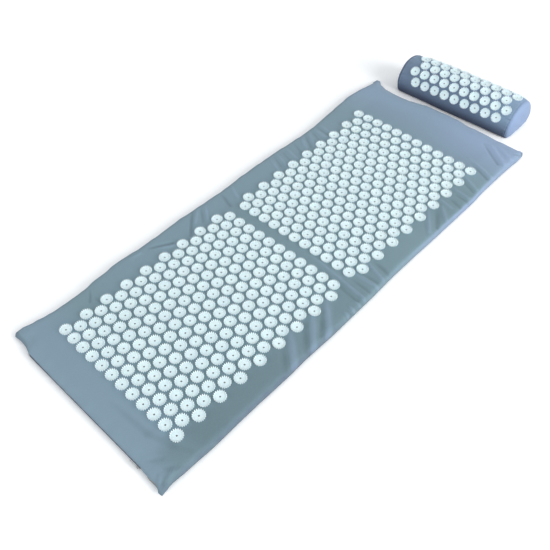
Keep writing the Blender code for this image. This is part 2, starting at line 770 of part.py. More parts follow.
def domed_end(bm, loop, x):
    """The vertices of a puffed end: its outline, inner rings and middle."""
    side = math.copysign(1, x)
    heights = [point.z for point in loop]
    middle = Vector((PILLOW_X + x, PILLOW_Y, (min(heights) + max(heights)) / 2))
    rings = [vertex_row(bm, [(PILLOW_X + x, point.y, point.z) for point in loop])]
    for share, height in zip(BULGE_RING_SHARES, BULGE_HEIGHT_SHARES):
        puff = Vector((side * PILLOW_BULGE * height, 0.0, 0.0))
        rings.append(vertex_row(bm, [middle.lerp(vertex.co, share) + puff for vertex in rings[0]]))
    bridge_rows(bm, rings, closed=True)
    peak = bm.verts.new(middle + Vector((side * PILLOW_BULGE, 0.0, 0.0)))
    for first, second in zip(rings[-1], rings[-1][1:] + rings[-1][:1]):
        bm.faces.new((first, second, peak))
    return rings[0]


def pillow_end(name, side):
    """An end panel: a puffed D of cloth."""
    bm = bmesh.new()
    loop = end_loop(PILLOW_LENGTH / 2)
    outer = domed_end(bm, loop, side * PILLOW_LENGTH / 2)
    inner = domed_end(bm, loop, side * (PILLOW_LENGTH / 2 - CLOTH))
    bridge(bm, outer, inner, closed=True)
    add_object(name, bm, "cotton", COTTON)


def pillow_foam():
    """The foam core: a D-shaped bolster with puffed ends and a hollow behind the zip."""
    bm = bmesh.new()
    stations = pillow_stations()
    rings = [domed_end(bm, foam_loop(stations[0]), stations[0])]
    rings += [vertex_row(bm, foam_loop(x)) for x in stations[1:-1]]
    rings.append(domed_end(bm, foam_loop(stations[-1]), stations[-1]))
    bridge_rows(bm, rings, closed=True)
    add_object("pillow_foam", bm, "foam", FOAM)


def back_section(upper, offset, height):
    """The point at a height from the zip on the flat facet of cloth beside the pillow's back seam."""
    x = pillow_zip_half() + ZIP_SLOT_END
    angles = barrel_angles(x, offset) if upper else base_angles(x, offset)
    lip, bend = (pillow_point(x, angle, offset) for angle in (angles[-1], angles[-2]))
    level = PILLOW_AXIS_HEIGHT + (height if upper else -height)
    mix = (level - lip.z) / (bend.z - lip.z)
    return lip.y + (bend.y - lip.y) * mix, level


def pillow_tape(name, upper):
    """A zip tape that lies against the inside of the pillow's back."""
    heights = (COIL_HALF + SEAT_GAP, COIL_HALF + SEAT_GAP + TAPE_WIDTH)
    section = [back_section(upper, FOAM_OFFSET, height) for height in heights]
    section += [back_section(upper, FOAM_OFFSET + TAPE_THICKNESS, height) for height in reversed(heights)]
    half = pillow_zip_half() + TAPE_TAIL
    add_object(name, prism_along_x(section, PILLOW_X - half, PILLOW_X + half), "zip_tape", ZIP_TAPE)


def build_pillow():
    """The neck pillow, which stands behind the head end of the mat."""
    pillow_barrel()
    pillow_base()
    pillow_end("pillow_end_left", -1)
    pillow_end("pillow_end_right", 1)
    pillow_foam()
    pillow_tape("pillow_zip_tape_upper", True)
    pillow_tape("pillow_zip_tape_lower", False)
    back = (PILLOW_X, PILLOW_Y + PILLOW_RADIUS, PILLOW_AXIS_HEIGHT)
    zip_hardware("pillow_zip", pillow_zip_half(), back, math.pi)


clear_scene()
build_mat()
build_pillow()
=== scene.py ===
"""Looks of an acupressure mat and its neck pillow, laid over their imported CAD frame.

The mat is one padded cotton cover with a foam slab each side of its fold and two fields of lotus
discs. The pillow is a half-round bolster with a third field. Units are metres, +Z is up, the origin
is the middle of the mat's underside and +Y points to the head end.
"""

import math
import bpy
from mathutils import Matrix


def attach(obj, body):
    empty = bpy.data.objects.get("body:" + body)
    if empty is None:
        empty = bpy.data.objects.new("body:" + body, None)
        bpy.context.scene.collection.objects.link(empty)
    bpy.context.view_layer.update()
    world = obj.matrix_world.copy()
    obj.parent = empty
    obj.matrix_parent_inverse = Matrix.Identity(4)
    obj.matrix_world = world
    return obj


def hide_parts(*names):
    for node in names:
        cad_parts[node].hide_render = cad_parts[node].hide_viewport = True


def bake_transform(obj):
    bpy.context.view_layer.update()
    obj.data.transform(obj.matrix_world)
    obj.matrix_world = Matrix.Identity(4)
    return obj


bl_info = {
    "name": "Acupressure Mat",
    "version": (1, 0, 0),
    "blender": (4, 5, 0),
    "location": "3D View > Sidebar > Acupressure Mat",
    "description": "Builds a folding acupressure mat and its half-round neck pillow",
    "category": "Add Mesh",
}

import bmesh
import bpy
import numpy as np
from bpy.props import FloatProperty, FloatVectorProperty, IntProperty, PointerProperty
from bpy.types import Operator, Panel, PropertyGroup
from mathutils import Matrix, Vector
from mathutils.bvhtree import BVHTree

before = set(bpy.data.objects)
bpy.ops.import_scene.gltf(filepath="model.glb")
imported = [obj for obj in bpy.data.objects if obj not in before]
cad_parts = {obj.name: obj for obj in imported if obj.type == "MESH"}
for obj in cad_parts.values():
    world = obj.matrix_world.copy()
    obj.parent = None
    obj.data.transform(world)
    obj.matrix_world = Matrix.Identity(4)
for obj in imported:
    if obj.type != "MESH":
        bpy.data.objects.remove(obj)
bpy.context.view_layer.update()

# Places that follow the CAD frame
HALF_WIDTH = 0.250
HALF_LENGTH = 0.650
FOLD_Y = -0.051
FOLD_BAND = 0.009
SEAM_Z = 0.009
TOP_Z = 0.0246
MAT_ZIP_HALF = 0.185
PILLOW_X = -0.0045
PILLOW_Y = 0.732414
PILLOW_AXIS_Z = 0.0275
PILLOW_HALF = 0.1805
PILLOW_RADIUS = 0.0633
PILLOW_ZIP_HALF = 0.1255

# Edge of the mat: how far in each side's roll reaches from the seam to the flat top, and how
# square the roll is: the right side stands up like a box, the left is round, the two ends taper.
# Then the corners, the rings of faces above and below the seam, and how far the zip's lips draw back
SIDE_REACH = 0.018
FOOT_REACH = 0.048
HEAD_REACH = 0.036
UNDER_REACH = 0.014
RIGHT_POWER = 3.4
LEFT_POWER = 2.0
END_POWER = 1.75
ZIP_POWER = 0.55
UNDER_POWER = 2.5
CORNER_RADIUS = 0.012
CORNER_EASE = 0.030
UPPER_RINGS = 11
LOWER_RINGS = 6
LIP_BACK = 0.0015
LOWER_LIP_BACK = 0.0022

# Slots of the two zips, and the seam of the mat's cover beyond its slot
SLOT_HALF_HEIGHT = 0.003
SLOT_DEPTH = 0.0052
SLOT_END = 0.0075
SLOT_TAPER = 0.008
SEAM_DEPTH = 0.0012
SEAM_HALF_HEIGHT = 0.0004

# Rows of the chains, as in the CAD
COIL_FRONT = 0.0003
COIL_DEPTH = 0.0020
COIL_LOW = 0.0005
COIL_HIGH = 0.0021

# Disc fields: rows and columns, the spacing of discs in a row and of rows, the first row's distance
# from the fold, and how far the fields stand to the right of the middle
FIELD_ROWS = 18
FIELD_COLUMNS = 12
DISC_PITCH = 0.033
ROW_PITCH = 0.0286
FIRST_ROW = 0.02625
FIELD_SHIFT = 0.012
FOOT_FIELD_SHIFT = -0.0023

# Discs of the pillow: the angles of its rows are in degrees round its axis, from the front
PILLOW_ROWS = 6
PILLOW_COLUMNS = 10
PILLOW_FIRST_ROW = 24.0
PILLOW_ROW_STEP = 24.2
PILLOW_FIELD_SHIFT = 0.0095

# One disc: its plate and hole, how far the notches between petals lie in, and the spikes inside the
# crown: distance from the middle, half width, depth inwards, lean inwards, and how much lower they are
PLATE_THICKNESS = 0.0018
HOLE_RADIUS = 0.0022
NOTCH_DEPTH = 0.0020
SPIKE_REACH = 0.0085
SPIKE_HALF_WIDTH = 0.0010
SPIKE_DEPTH = 0.0018
SPIKE_LEAN = 0.0006
SPIKE_DROP = 0.0016

# How a disc stands: its variation in size, and how far it is sunk into the cloth
DISC_VARIATION = 0.006
DISC_SINK = 0.0002

# Last rows at the head's left, which the photograph shows out of the grid: how far they stand out,
# from which row on, and where the shift begins and ends across the mat
LAST_ROWS_SHIFT = 0.0085
LAST_ROWS_START = 0.3615
LAST_ROWS_FULL = -0.05
LAST_ROWS_END = 0.19

# The pillow's ends: height of the middle of a panel, how far it puffs out, and how much more the
# right one does. Then the steps of cloth simulation that blow the cover up, and the least that each
# point moves outwards
END_MIDDLE_Z = 0.042
END_DOME = 0.009
RIGHT_DOME_GAIN = 1.45
BLOW_STEPS = 20
LEAST_RISE = 0.0012

# Sewing: how far a seam runs past its zip and lies from the slot, the stretch of overlock at the end
# of the mat's zip, and how far the pillow's end seams lie in from the rim
SEAM_PAST_ZIP = 0.012
SEAM_FROM_SLOT = 0.0022
OVERLOCK_START = MAT_ZIP_HALF + 0.021
OVERLOCK_END = 0.234
OVERLOCK_SIZE = 2.2
END_SEAM_INSET = 0.0045
WELT_RADIUS = 0.0012

# The two zips: name, middle of the outside, half length, way out along Y, and the body that carries it
ZIPS = (
    ("mat_zip", (0.0, -HALF_LENGTH, SEAM_Z), MAT_ZIP_HALF, -1.0, "foot_half"),
    ("pillow_zip", (PILLOW_X, PILLOW_Y + PILLOW_RADIUS, PILLOW_AXIS_Z), PILLOW_ZIP_HALF, 1.0, "pillow"),
)

# The photograph's camera, as solved on its discs: angles in degrees, place in metres
CAMERA_AZIMUTH = 45.92133
CAMERA_ELEVATION = 49.15359
CAMERA_ROLL = -2.79502
CAMERA_PLACE = (0.714193, -0.848397, 1.142615)
CAMERA_LENS = 42.296
CAMERA_SHIFT = 0.03949

# Soft lights: place, the spot that each points at, and its size
KEY_LIGHT = ((3.6, 0.6, 1.7), (0.0, 0.05, 0.0), 2.2)
TOP_LIGHT = ((0.6, 1.6, 3.4), (0.0, 0.1, 0.0), 3.0)
FILL_LIGHT = ((-0.9, -4.2, 1.3), (0.0, 0.3, 0.0), 2.6)

# How far the outline swings out of the straight, as (place along the side, distance outwards). Typed
# in after measuring how far the mat's outline lay from the photograph's
LEFT_SWING = (
    (-0.650, 0.0100), (-0.634, 0.0092), (-0.620, 0.0058), (-0.600, 0.0019), (-0.570, -0.0027),
    (-0.530, -0.0071), (-0.480, -0.0082), (-0.420, -0.0026), (-0.360, 0.0029), (-0.300, -0.0009),
    (-0.240, -0.0018), (-0.180, 0.0009), (-0.120, -0.0007), (-0.060, -0.0025), (0.000, -0.0023),
    (0.060, 0.0012), (0.120, 0.0009), (0.180, 0.0006), (0.240, -0.0018), (0.300, -0.0043),
    (0.360, -0.0023), (0.420, 0.0045), (0.480, 0.0098), (0.520, 0.0148), (0.560, 0.0130),
    (0.600, 0.0078), (0.620, 0.0036), (0.640, 0.0004), (0.655, 0.0000),
)
RIGHT_SWING = (
    (-0.650, 0.0), (-0.618, -0.002), (-0.596, -0.0005), (-0.523, 0.002), (-0.440, 0.001),
    (-0.309, 0.0025), (-0.261, 0.0015), (-0.165, 0.0035), (-0.058, 0.003), (0.058, 0.0005),
    (0.117, 0.001), (0.239, 0.003), (0.373, 0.004), (0.447, 0.0015), (0.545, 0.002),
    (0.590, 0.0035), (0.612, 0.005), (0.640, 0.004),
)
HEAD_SWING = (
    (-0.252, 0.009), (-0.235, 0.003), (-0.225, -0.0010), (-0.210, -0.0065), (-0.200, -0.0105),
    (-0.180, -0.0125), (-0.160, -0.0130), (-0.140, -0.0145), (-0.120, -0.0120), (-0.100, -0.0090),
    (-0.080, -0.0040), (-0.060, 0.0010), (-0.040, -0.0005), (-0.020, 0.0005), (0.010, 0.0012),
    (0.035, 0.0012), (0.055, -0.0020), (0.075, -0.0062), (0.120, -0.0068), (0.142, -0.0090),
    (0.162, -0.0118), (0.200, -0.0120), (0.225, -0.0130), (0.250, -0.0120),
)
FOOT_SWING = (
    (-0.250, -0.0090), (-0.243, -0.0050), (-0.235, -0.0034), (-0.215, -0.0030), (-0.186, 0.0),
    (0.183, 0.0), (0.191, 0.0005), (0.203, 0.0006), (0.212, 0.0026), (0.250, 0.0042),
)

# Ears of the four sewn corners, by the signs of x and y: how far each stands out, half its width,
# the depth of the necks beside it, and how square its end is
EARS = {
    (-1, -1): (0.007, 0.009, 0.0, 2),
    (1, -1): (0.008, 0.0075, 0.0030, 2),
    (1, 1): (0.0015, 0.016, 0.0, 4),
    (-1, 1): (0.017, 0.010, 0.0, 2),
}

# Painted light and shade along the right wall, below 0 darker and above 0 lighter and lavender: shade
# on its foot half, light towards the head. Then how much darker the right margin is. Both as (place
# along the side, amount), set after comparing tones with the photograph
WALL_LIGHT_AND_SHADE = (
    (-0.650, -0.22), (-0.550, -0.28), (-0.420, -0.40), (-0.300, -0.42), (-0.200, -0.30), (-0.050, 0.0),
    (0.080, 0.22), (0.200, 0.58), (0.350, 0.92), (0.450, 0.84), (0.650, 0.84),
)
MARGIN_DARKENING = (
    (-0.640, 0.12), (-0.590, 0.27), (-0.520, 0.46), (-0.330, 0.42), (-0.180, 0.28), (0.000, 0.18),
    (0.100, 0.05), (0.170, 0.03), (0.270, 0.20), (0.360, 0.16), (0.440, 0.0), (0.650, 0.0),
)

# Share of a crease's listed half width at which it is made, and the height that counts as a full ridge
CREASE_WIDTH = 0.78
FULL_CREASE = 0.0020

# Creases of the top: from (x, y) to (x, y), height, below 0 for a furrow, and half width
CREASES = (
    ((0.080, -0.041), (0.172, -0.051), 0.0015, 0.0050),
    ((0.172, -0.051), (0.243, -0.062), 0.0024, 0.0050),
    ((0.120, -0.060), (0.238, -0.077), -0.0015, 0.0060),
    ((0.187, -0.018), (0.251, -0.015), 0.0024, 0.0050),
    ((0.195, -0.034), (0.243, -0.038), -0.0015, 0.0060),
    ((0.197, -0.005), (0.241, -0.004), -0.0014, 0.0060),
    ((0.191, 0.028), (0.246, 0.010), 0.0022, 0.0055),
    ((0.198, 0.042), (0.244, 0.032), -0.0016, 0.0065),
    ((0.234, -0.062), (0.262, -0.065), 0.0024, 0.0035),
    ((0.236, -0.071), (0.262, -0.074), -0.0016, 0.0035),
    ((0.234, -0.081), (0.262, -0.083), 0.0022, 0.0035),
    ((0.236, -0.091), (0.262, -0.093), -0.0015, 0.0035),
    ((0.234, -0.101), (0.262, -0.103), 0.0024, 0.0035),
    ((0.236, -0.111), (0.262, -0.113), -0.0014, 0.0035),
    ((0.236, -0.120), (0.260, -0.123), 0.0018, 0.0040),
    ((0.191, -0.120), (0.251, -0.193), 0.0022, 0.0110),
    ((0.206, -0.155), (0.240, -0.202), -0.0016, 0.0090),
    ((0.194, -0.170), (0.249, -0.240), 0.0022, 0.0115),
    ((0.197, -0.204), (0.245, -0.252), -0.0016, 0.0100),
    ((0.190, -0.238), (0.248, -0.297), 0.0021, 0.0120),
    ((0.207, -0.282), (0.242, -0.314), -0.0014, 0.0100),
    ((0.193, 0.270), (0.236, 0.206), 0.0020, 0.0060),
    ((0.206, 0.286), (0.241, 0.231), -0.0016, 0.0065),
    ((0.211, 0.302), (0.243, 0.267), 0.0019, 0.0055),
    ((0.191, 0.322), (0.230, 0.312), 0.0018, 0.0055),
    ((0.211, 0.339), (0.243, 0.328), -0.0015, 0.0060),
    ((0.193, 0.379), (0.240, 0.370), 0.0018, 0.0055),
    ((0.214, 0.361), (0.246, 0.357), -0.0014, 0.0055),
    ((0.193, 0.436), (0.240, 0.411), 0.0018, 0.0055),
    ((0.192, 0.422), (0.237, 0.398), -0.0014, 0.0055),
    ((0.164, 0.507), (0.243, 0.477), 0.0022, 0.0060),
    ((0.181, 0.494), (0.239, 0.465), -0.0017, 0.0065),
    ((0.160, 0.596), (0.229, 0.537), -0.0015, 0.0058),
    ((0.178, 0.602), (0.242, 0.548), 0.0020, 0.0070),
    ((0.194, 0.614), (0.241, 0.583), 0.0019, 0.0055),
    ((0.222, 0.622), (0.262, 0.658), 0.0018, 0.0045),
    ((0.234, 0.606), (0.266, 0.638), -0.0016, 0.0040),
    ((0.236, 0.654), (0.262, 0.618), -0.0024, 0.0030),
    ((0.244, 0.660), (0.268, 0.628), 0.0016, 0.0028),
    ((0.247, 0.648), (0.262, 0.656), -0.0014, 0.0026),
    ((0.219, -0.626), (0.258, -0.664), 0.0013, 0.0055),
    ((-0.222, 0.620), (-0.258, 0.662), 0.0015, 0.0050),
    ((-0.241, -0.127), (-0.181, -0.186), -0.0019, 0.0050),
    ((-0.237, -0.112), (-0.203, -0.150), 0.0017, 0.0055),
    ((-0.229, -0.092), (-0.190, -0.120), 0.0018, 0.0050),
    ((-0.232, -0.106), (-0.192, -0.134), -0.0013, 0.0050),
    ((-0.232, 0.005), (-0.191, -0.013), 0.0016, 0.0060),
    ((-0.229, -0.034), (-0.185, -0.048), -0.0017, 0.0060),
    ((-0.224, -0.281), (-0.195, -0.232), -0.0019, 0.0050),
    ((-0.208, -0.270), (-0.178, -0.226), 0.0015, 0.0050),
    ((-0.227, -0.335), (-0.227, -0.306), 0.0013, 0.0060),
    ((-0.229, -0.457), (-0.196, -0.479), -0.0015, 0.0045),
    ((-0.198, -0.462), (-0.174, -0.465), -0.0010, 0.0045),
    ((-0.226, 0.151), (-0.188, 0.136), 0.0015, 0.0048),
    ((-0.228, 0.166), (-0.190, 0.150), -0.0011, 0.0048),
    ((-0.230, 0.181), (-0.184, 0.163), 0.0016, 0.0048),
    ((-0.230, 0.197), (-0.184, 0.184), -0.0011, 0.0050),
    ((-0.231, 0.214), (-0.178, 0.203), 0.0017, 0.0050),
    ((-0.233, 0.247), (-0.190, 0.232), -0.0011, 0.0060),
    ((-0.236, 0.280), (-0.192, 0.255), 0.0017, 0.0050),
    ((-0.233, 0.294), (-0.185, 0.266), -0.0012, 0.0048),
    ((-0.232, 0.308), (-0.180, 0.277), 0.0017, 0.0048),
    ((-0.232, 0.321), (-0.185, 0.303), -0.0012, 0.0048),
    ((-0.232, 0.333), (-0.182, 0.326), 0.0017, 0.0048),
    ((-0.232, 0.346), (-0.190, 0.339), -0.0011, 0.0048),
    ((-0.231, 0.359), (-0.192, 0.351), 0.0015, 0.0048),
    ((0.040, -0.604), (0.146, -0.597), -0.0008, 0.0120),
    ((0.146, -0.597), (0.199, -0.581), -0.0009, 0.0120),
    ((0.199, -0.581), (0.232, -0.566), -0.0007, 0.0110),
    ((0.187, -0.636), (0.207, -0.611), -0.0011, 0.0060),
    ((0.218, -0.626), (0.241, -0.603), -0.0011, 0.0060),
)


# Sizes and colours that a user would change


class AcumatCoverSettings(PropertyGroup):
    """Sizes and colour of the mat's cover."""

    grid: FloatProperty(
        name="Cloth Grid", description="Spacing of the cover's faces", default=0.0038, min=0.003,
        unit="LENGTH",
    )
    ear: FloatProperty(
        name="Corner Ears", description="Share of the full length of the sewn corners' ears",
        default=1.0, min=0.0, subtype="FACTOR",
    )
    crease: FloatProperty(
        name="Crease Strength", description="Share of the full height of the creases", default=1.3,
        min=0.0, max=2.0, subtype="FACTOR",
    )
    ripple: FloatProperty(
        name="Edge Ripple", description="Height of the small gathers along the sewn edge",
        default=0.0007, min=0.0, unit="LENGTH",
    )
    colour: FloatVectorProperty(
        name="Cotton", description="Colour of the cotton", default=(0.190, 0.294, 0.334), size=3,
        min=0.0, max=1.0, subtype="COLOR",
    )
    # Lavender of the lighter cloth, and of painted light on the mat's right wall and on lighter ridges
    faded_and_lit: FloatVectorProperty(
        name="Faded Cotton", description="Colour of the cotton where it has faded to lavender",
        default=(0.300, 0.400, 0.580), size=3, min=0.0, max=1.0, subtype="COLOR",
    )
    # Also the colour of painted shade under the left foot edge and on the foot half of the right wall, and
    # of the dark tip at the left foot corner
    deep: FloatVectorProperty(
        name="Deep Cotton", description="Colour of the cotton where the dye lies deepest",
        default=(0.078, 0.085, 0.185), size=3, min=0.0, max=1.0, subtype="COLOR",
    )


class AcumatDiscSettings(PropertyGroup):
    """Sizes and colour of the lotus discs."""

    radius: FloatProperty(
        name="Disc Radius", description="Radius of a disc", default=0.0139,
        unit="LENGTH",
    )
    petals: IntProperty(
        name="Petals", description="Pointed petals round a disc's rim", default=18, min=6, max=24
    )
    spikes: IntProperty(
        name="Inner Spikes", description="Spikes inside the rim", default=6, min=0, max=12
    )
    height: FloatProperty(
        name="Spike Height", description="Height of the points over the cloth", default=0.0066,
        unit="LENGTH",
    )
    turn: FloatProperty(
        name="Turn Variation", description="How far discs are turned at random",
        default=math.radians(10), subtype="ANGLE",
    )
    seed: IntProperty(name="Seed", description="Seed of the random turns", default=7)
    colour: FloatVectorProperty(
        name="Plastic", description="Colour of the disc plastic", default=(0.80, 0.955, 1.0), size=3,
        min=0.0, max=1.0, subtype="COLOR",
    )


class AcumatPillowSettings(PropertyGroup):
    """Sizes and colours of the pillow's padded cover."""

    voxel: FloatProperty(
        name="Remesh Size", description="Voxel size of the cover before it is inflated",
        default=0.0045, min=0.004, unit="LENGTH",
    )
    shrink: FloatProperty(
        name="Start Inset", description="How much smaller the cover starts", default=0.0014,
        unit="LENGTH",
    )
    cap: FloatProperty(
        name="Swell Limit", description="Furthest that a point of the cover may move",
        default=0.0045, unit="LENGTH",
    )
    pressure: FloatProperty(
        name="Pressure", description="Pressure of the filling on the cloth", default=4.0, min=0.0
    )
    colour: FloatVectorProperty(
        name="Cotton", description="Colour of the pillow's cotton", default=(0.210, 0.305, 0.425), size=3,
        min=0.0, max=1.0, subtype="COLOR",
    )
    # Lavender of the pillow's lighter right side, and of painted light on its right end, its right welt and
    # lighter ridges
    faded_and_lit: FloatVectorProperty(
        name="Faded Cotton", description="Colour of the pillow's cotton where it has faded",
        default=(0.320, 0.430, 0.660), size=3, min=0.0, max=1.0, subtype="COLOR",
    )
    # Also the colour of painted shade on the pillow's front low down, on its left end and on its left welt
    deep: FloatVectorProperty(
        name="Deep Cotton", description="Colour of the pillow's cotton where the dye lies deepest",
        default=(0.045, 0.062, 0.130), size=3, min=0.0, max=1.0, subtype="COLOR",
    )


class AcumatZipSettings(PropertyGroup):
    """Sizes and colours of the zips and the sewing."""

    tooth_pitch: FloatProperty(
        name="Tooth Pitch", description="Spacing of the zip's teeth", default=0.0015, unit="LENGTH"
    )
    stitch_pitch: FloatProperty(
        name="Stitch Pitch", description="Spacing of the stitches", default=0.0032, unit="LENGTH"
    )
    stitch_length: FloatProperty(
        name="Stitch Length", description="Length of one stitch", default=0.0024, unit="LENGTH"
    )
    thread: FloatProperty(
        name="Thread Radius", description="Radius of the sewing thread", default=0.00028,
        unit="LENGTH",
    )
    thread_colour: FloatVectorProperty(
        name="Thread", description="Colour of the sewing thread", default=(0.36, 0.46, 0.60), size=3,
        min=0.0, max=1.0, subtype="COLOR",
    )
    overlock_colour: FloatVectorProperty(
        name="Overlock", description="Colour of the thread that edges the end of the mat's zip",
        default=(0.36, 0.27, 0.17), size=3, min=0.0, max=1.0, subtype="COLOR",
    )
    tape_colour: FloatVectorProperty(
        name="Zip Tape", description="Colour of the zip tape and teeth",
        default=(0.085, 0.115, 0.150), size=3, min=0.0, max=1.0, subtype="COLOR",
    )


class AcumatStageSettings(PropertyGroup):
    """Light on the mat and the floor under it."""

    key: FloatProperty(name="Key Light", description="Power of the main soft light", default=120.0)
    fill: FloatProperty(name="Fill Light", description="Power of the soft light at the foot", default=66.0)
    top: FloatProperty(name="Top Light", description="Power of the soft light overhead", default=8.0)
    sky: FloatProperty(name="Sky", description="Strength of the even light all round", default=0.60)
    floor: FloatVectorProperty(
        name="Floor", description="Colour of the floor", default=(0.93, 0.93, 0.93), size=3, min=0.0,
        max=1.0, subtype="COLOR",
    )


# Small helpers


def smooth(value):
    """A step from 0 to 1 that starts and ends gently."""
    share = np.clip(value, 0.0, 1.0)
    return share * share * (3.0 - 2.0 * share)


def rise(value, low, high):
    """0 up to low, 1 from high on, with a gentle step between them."""
    return smooth((value - low) / (high - low))


def fall(value, low, high):
    """1 up to low, 0 from high on, with a gentle step between them."""
    return 1.0 - rise(value, low, high)


def eased(at, table):
    """Reads a table of (place, value), easing between its places."""
    places = np.array([row[0] for row in table])
    values = np.array([row[1] for row in table])
    at = np.clip(at, places[0], places[-1])
    low = np.clip(np.searchsorted(places, at) - 1, 0, len(places) - 2)
    share = smooth((at - places[low]) / (places[low + 1] - places[low]))
    return values[low] * (1 - share) + values[low + 1] * share


def link_object(name, mesh):
    """A new object at the origin for a mesh."""
    made = bpy.data.objects.new(name, mesh)
    bpy.context.collection.objects.link(made)
    return made


def object_from(name, points, faces, sharp_deg=40.0):
    """An object from points and faces, shaded smooth with its sharp edges kept."""
    mesh = bpy.data.meshes.new(name)
    mesh.from_pydata([tuple(point) for point in points], [], [tuple(face) for face in faces])
    mesh.validate()
    mesh.shade_smooth()
    mesh.set_sharp_from_angle(angle=math.radians(sharp_deg))
    return link_object(name, mesh)


def baked(holder, name):
    """Turns an object with live modifiers into a plain mesh object and removes the holder."""
    bpy.context.view_layer.update()
    seen = holder.evaluated_get(bpy.context.evaluated_depsgraph_get())
    mesh = bpy.data.meshes.new_from_object(seen)
    mesh.name = name
    bpy.data.objects.remove(holder, do_unlink=True)
    return link_object(name, mesh)


def coordinates(mesh):
    """The points of a mesh as an array."""
    flat = np.empty(len(mesh.vertices) * 3)
    mesh.vertices.foreach_get("co", flat)
    return flat.reshape(-1, 3)


def normals(mesh):
    """The vertex normals of a mesh as an array."""
    flat = np.empty(len(mesh.vertices) * 3)
    mesh.vertex_normals.foreach_get("vector", flat)
    return flat.reshape(-1, 3)


def set_coordinates(mesh, points):
    """Moves the points of a mesh."""
    mesh.vertices.foreach_set("co", np.ascontiguousarray(points, dtype=np.float64).ravel())
    mesh.update()


def point_values(mesh, label, values):
    """Stores one number, or one vector, for each point of a mesh."""
    values = np.asarray(values, dtype=np.float32)
    kind, field = ("FLOAT", "value") if values.ndim == 1 else ("FLOAT_VECTOR", "vector")
    layer = mesh.attributes.new(label, kind, "POINT")
    layer.data.foreach_set(field, values.ravel())


def loop_quads(loops, flip=False):
    """Quads between each loop of point numbers and the next."""
    quads = []
    for first, second in zip(loops, loops[1:]):
        for step in range(len(first)):
            after = (step + 1) % len(first)
            quad = (first[step], first[after], second[after], second[step])
            quads.append(quad[::-1] if flip else quad)
    return quads


def tube_faces(starts, count):
    """Faces of a closed tube through loops of count points, given by their first points' numbers."""
    loops = [tuple(range(start, start + count)) for start in starts]
    return [loops[0][::-1], *loop_quads(loops), loops[-1]]


def add_node(tree, kind, inputs=(), **settings):
    """Adds a node to a tree, sets its options, and its inputs from {name: value or socket}."""
    made = tree.nodes.new(kind)
    for key, value in settings.items():
        setattr(made, key, value)
    for key, value in dict(inputs).items():
        if isinstance(value, bpy.types.NodeSocket):
            tree.links.new(value, made.inputs[key])
        else:
            made.inputs[key].default_value = value
    return made


def surface_of(made):
    """A tree for looking up places on an object's surface."""
    return BVHTree.FromObject(made, bpy.context.evaluated_depsgraph_get())


def dress(made, material):
    """Gives an object one material in place of any it has."""
    made.data.materials.clear()
    made.data.materials.append(material)
    return made


# Materials


class Finish:
    """A node material under construction."""

    def __init__(self, label):
        self.material = bpy.data.materials.new(label)
        self.material.use_nodes = True
        self.nodes = self.material.node_tree.nodes
        self.links = self.material.node_tree.links
        self.shader = self.nodes["Principled BSDF"]

    def node(self, kind, inputs=(), **settings):
        """Adds a node to the material's tree."""
        return add_node(self.material.node_tree, kind, inputs, **settings)

    def math(self, operation, first, second=None):
        """A Math node's result."""
        inputs = {0: first} if second is None else {0: first, 1: second}
        return self.node("ShaderNodeMath", inputs, operation=operation).outputs[0]

    def mix(self, share, first, second, blend="MIX"):
        """The mix of two colours."""
        made = self.node("ShaderNodeMix", data_type="RGBA", blend_type=blend)
        for key, value in (("Factor", share), ("A", first), ("B", second)):
            socket = next(s for s in made.inputs if s.name == key and s.enabled)
            if isinstance(value, bpy.types.NodeSocket):
                self.links.new(value, socket)
            else:
                socket.default_value = value
        return next(s for s in made.outputs if s.enabled)

    def ramp(self, value, low, high, low_result=0.0, high_result=1.0):
        """Maps one range of numbers to another, clamped."""
        inputs = {"Value": value, "From Min": low, "From Max": high, "To Min": low_result,
                  "To Max": high_result}
        return self.node("ShaderNodeMapRange", inputs).outputs[0]

    def noise(self, vector, scale, detail=2.0):
        """The value of a noise."""
        inputs = {"Vector": vector, "Scale": scale, "Detail": detail, "Roughness": 0.5}
        return self.node("ShaderNodeTexNoise", inputs).outputs[0]

    def object_place(self):
        """Object coordinates."""
        return self.node("ShaderNodeTexCoord").outputs["Object"]

    def attribute(self, label, vector=False):
        """A stored attribute of the piece."""
        made = self.node("ShaderNodeAttribute", attribute_name=label)
        return made.outputs["Vector" if vector else "Fac"]

    def bump(self, height, strength, distance):
        """Sets the shader's bump."""
        inputs = {"Height": height, "Strength": strength, "Distance": distance}
        made = self.node("ShaderNodeBump", inputs)
        self.links.new(made.outputs[0], self.shader.inputs["Normal"])

    def plug(self, key, value):
        """Feeds a socket of the shader, or sets it."""
        if isinstance(value, bpy.types.NodeSocket):
            self.links.new(value, self.shader.inputs[key])
        else:
            self.shader.inputs[key].default_value = value


def shade(colour, factor):
    """A colour made darker or lighter, with its alpha."""
    return (*(min(channel * factor, 1.0) for channel in colour), 1.0)


def woven_height(finish, place, pitch):
    """Height of a plain weave: warp and weft that pass over each other in turn."""
    parts = finish.node("ShaderNodeSeparateXYZ", {"Vector": place}).outputs
    turns = math.pi / pitch
    across = finish.math("SINE", finish.math("MULTIPLY", parts["X"], turns))
    along = finish.math("SINE", finish.math("MULTIPLY", parts["Y"], turns))
    warp = finish.math("ABSOLUTE", across)
    weft = finish.math("ABSOLUTE", along)
    over = finish.ramp(finish.math("MULTIPLY", across, along), -0.25, 0.25)
    lift = finish.math("SUBTRACT", warp, weft)
    return finish.math("ADD", weft, finish.math("MULTIPLY", over, lift))


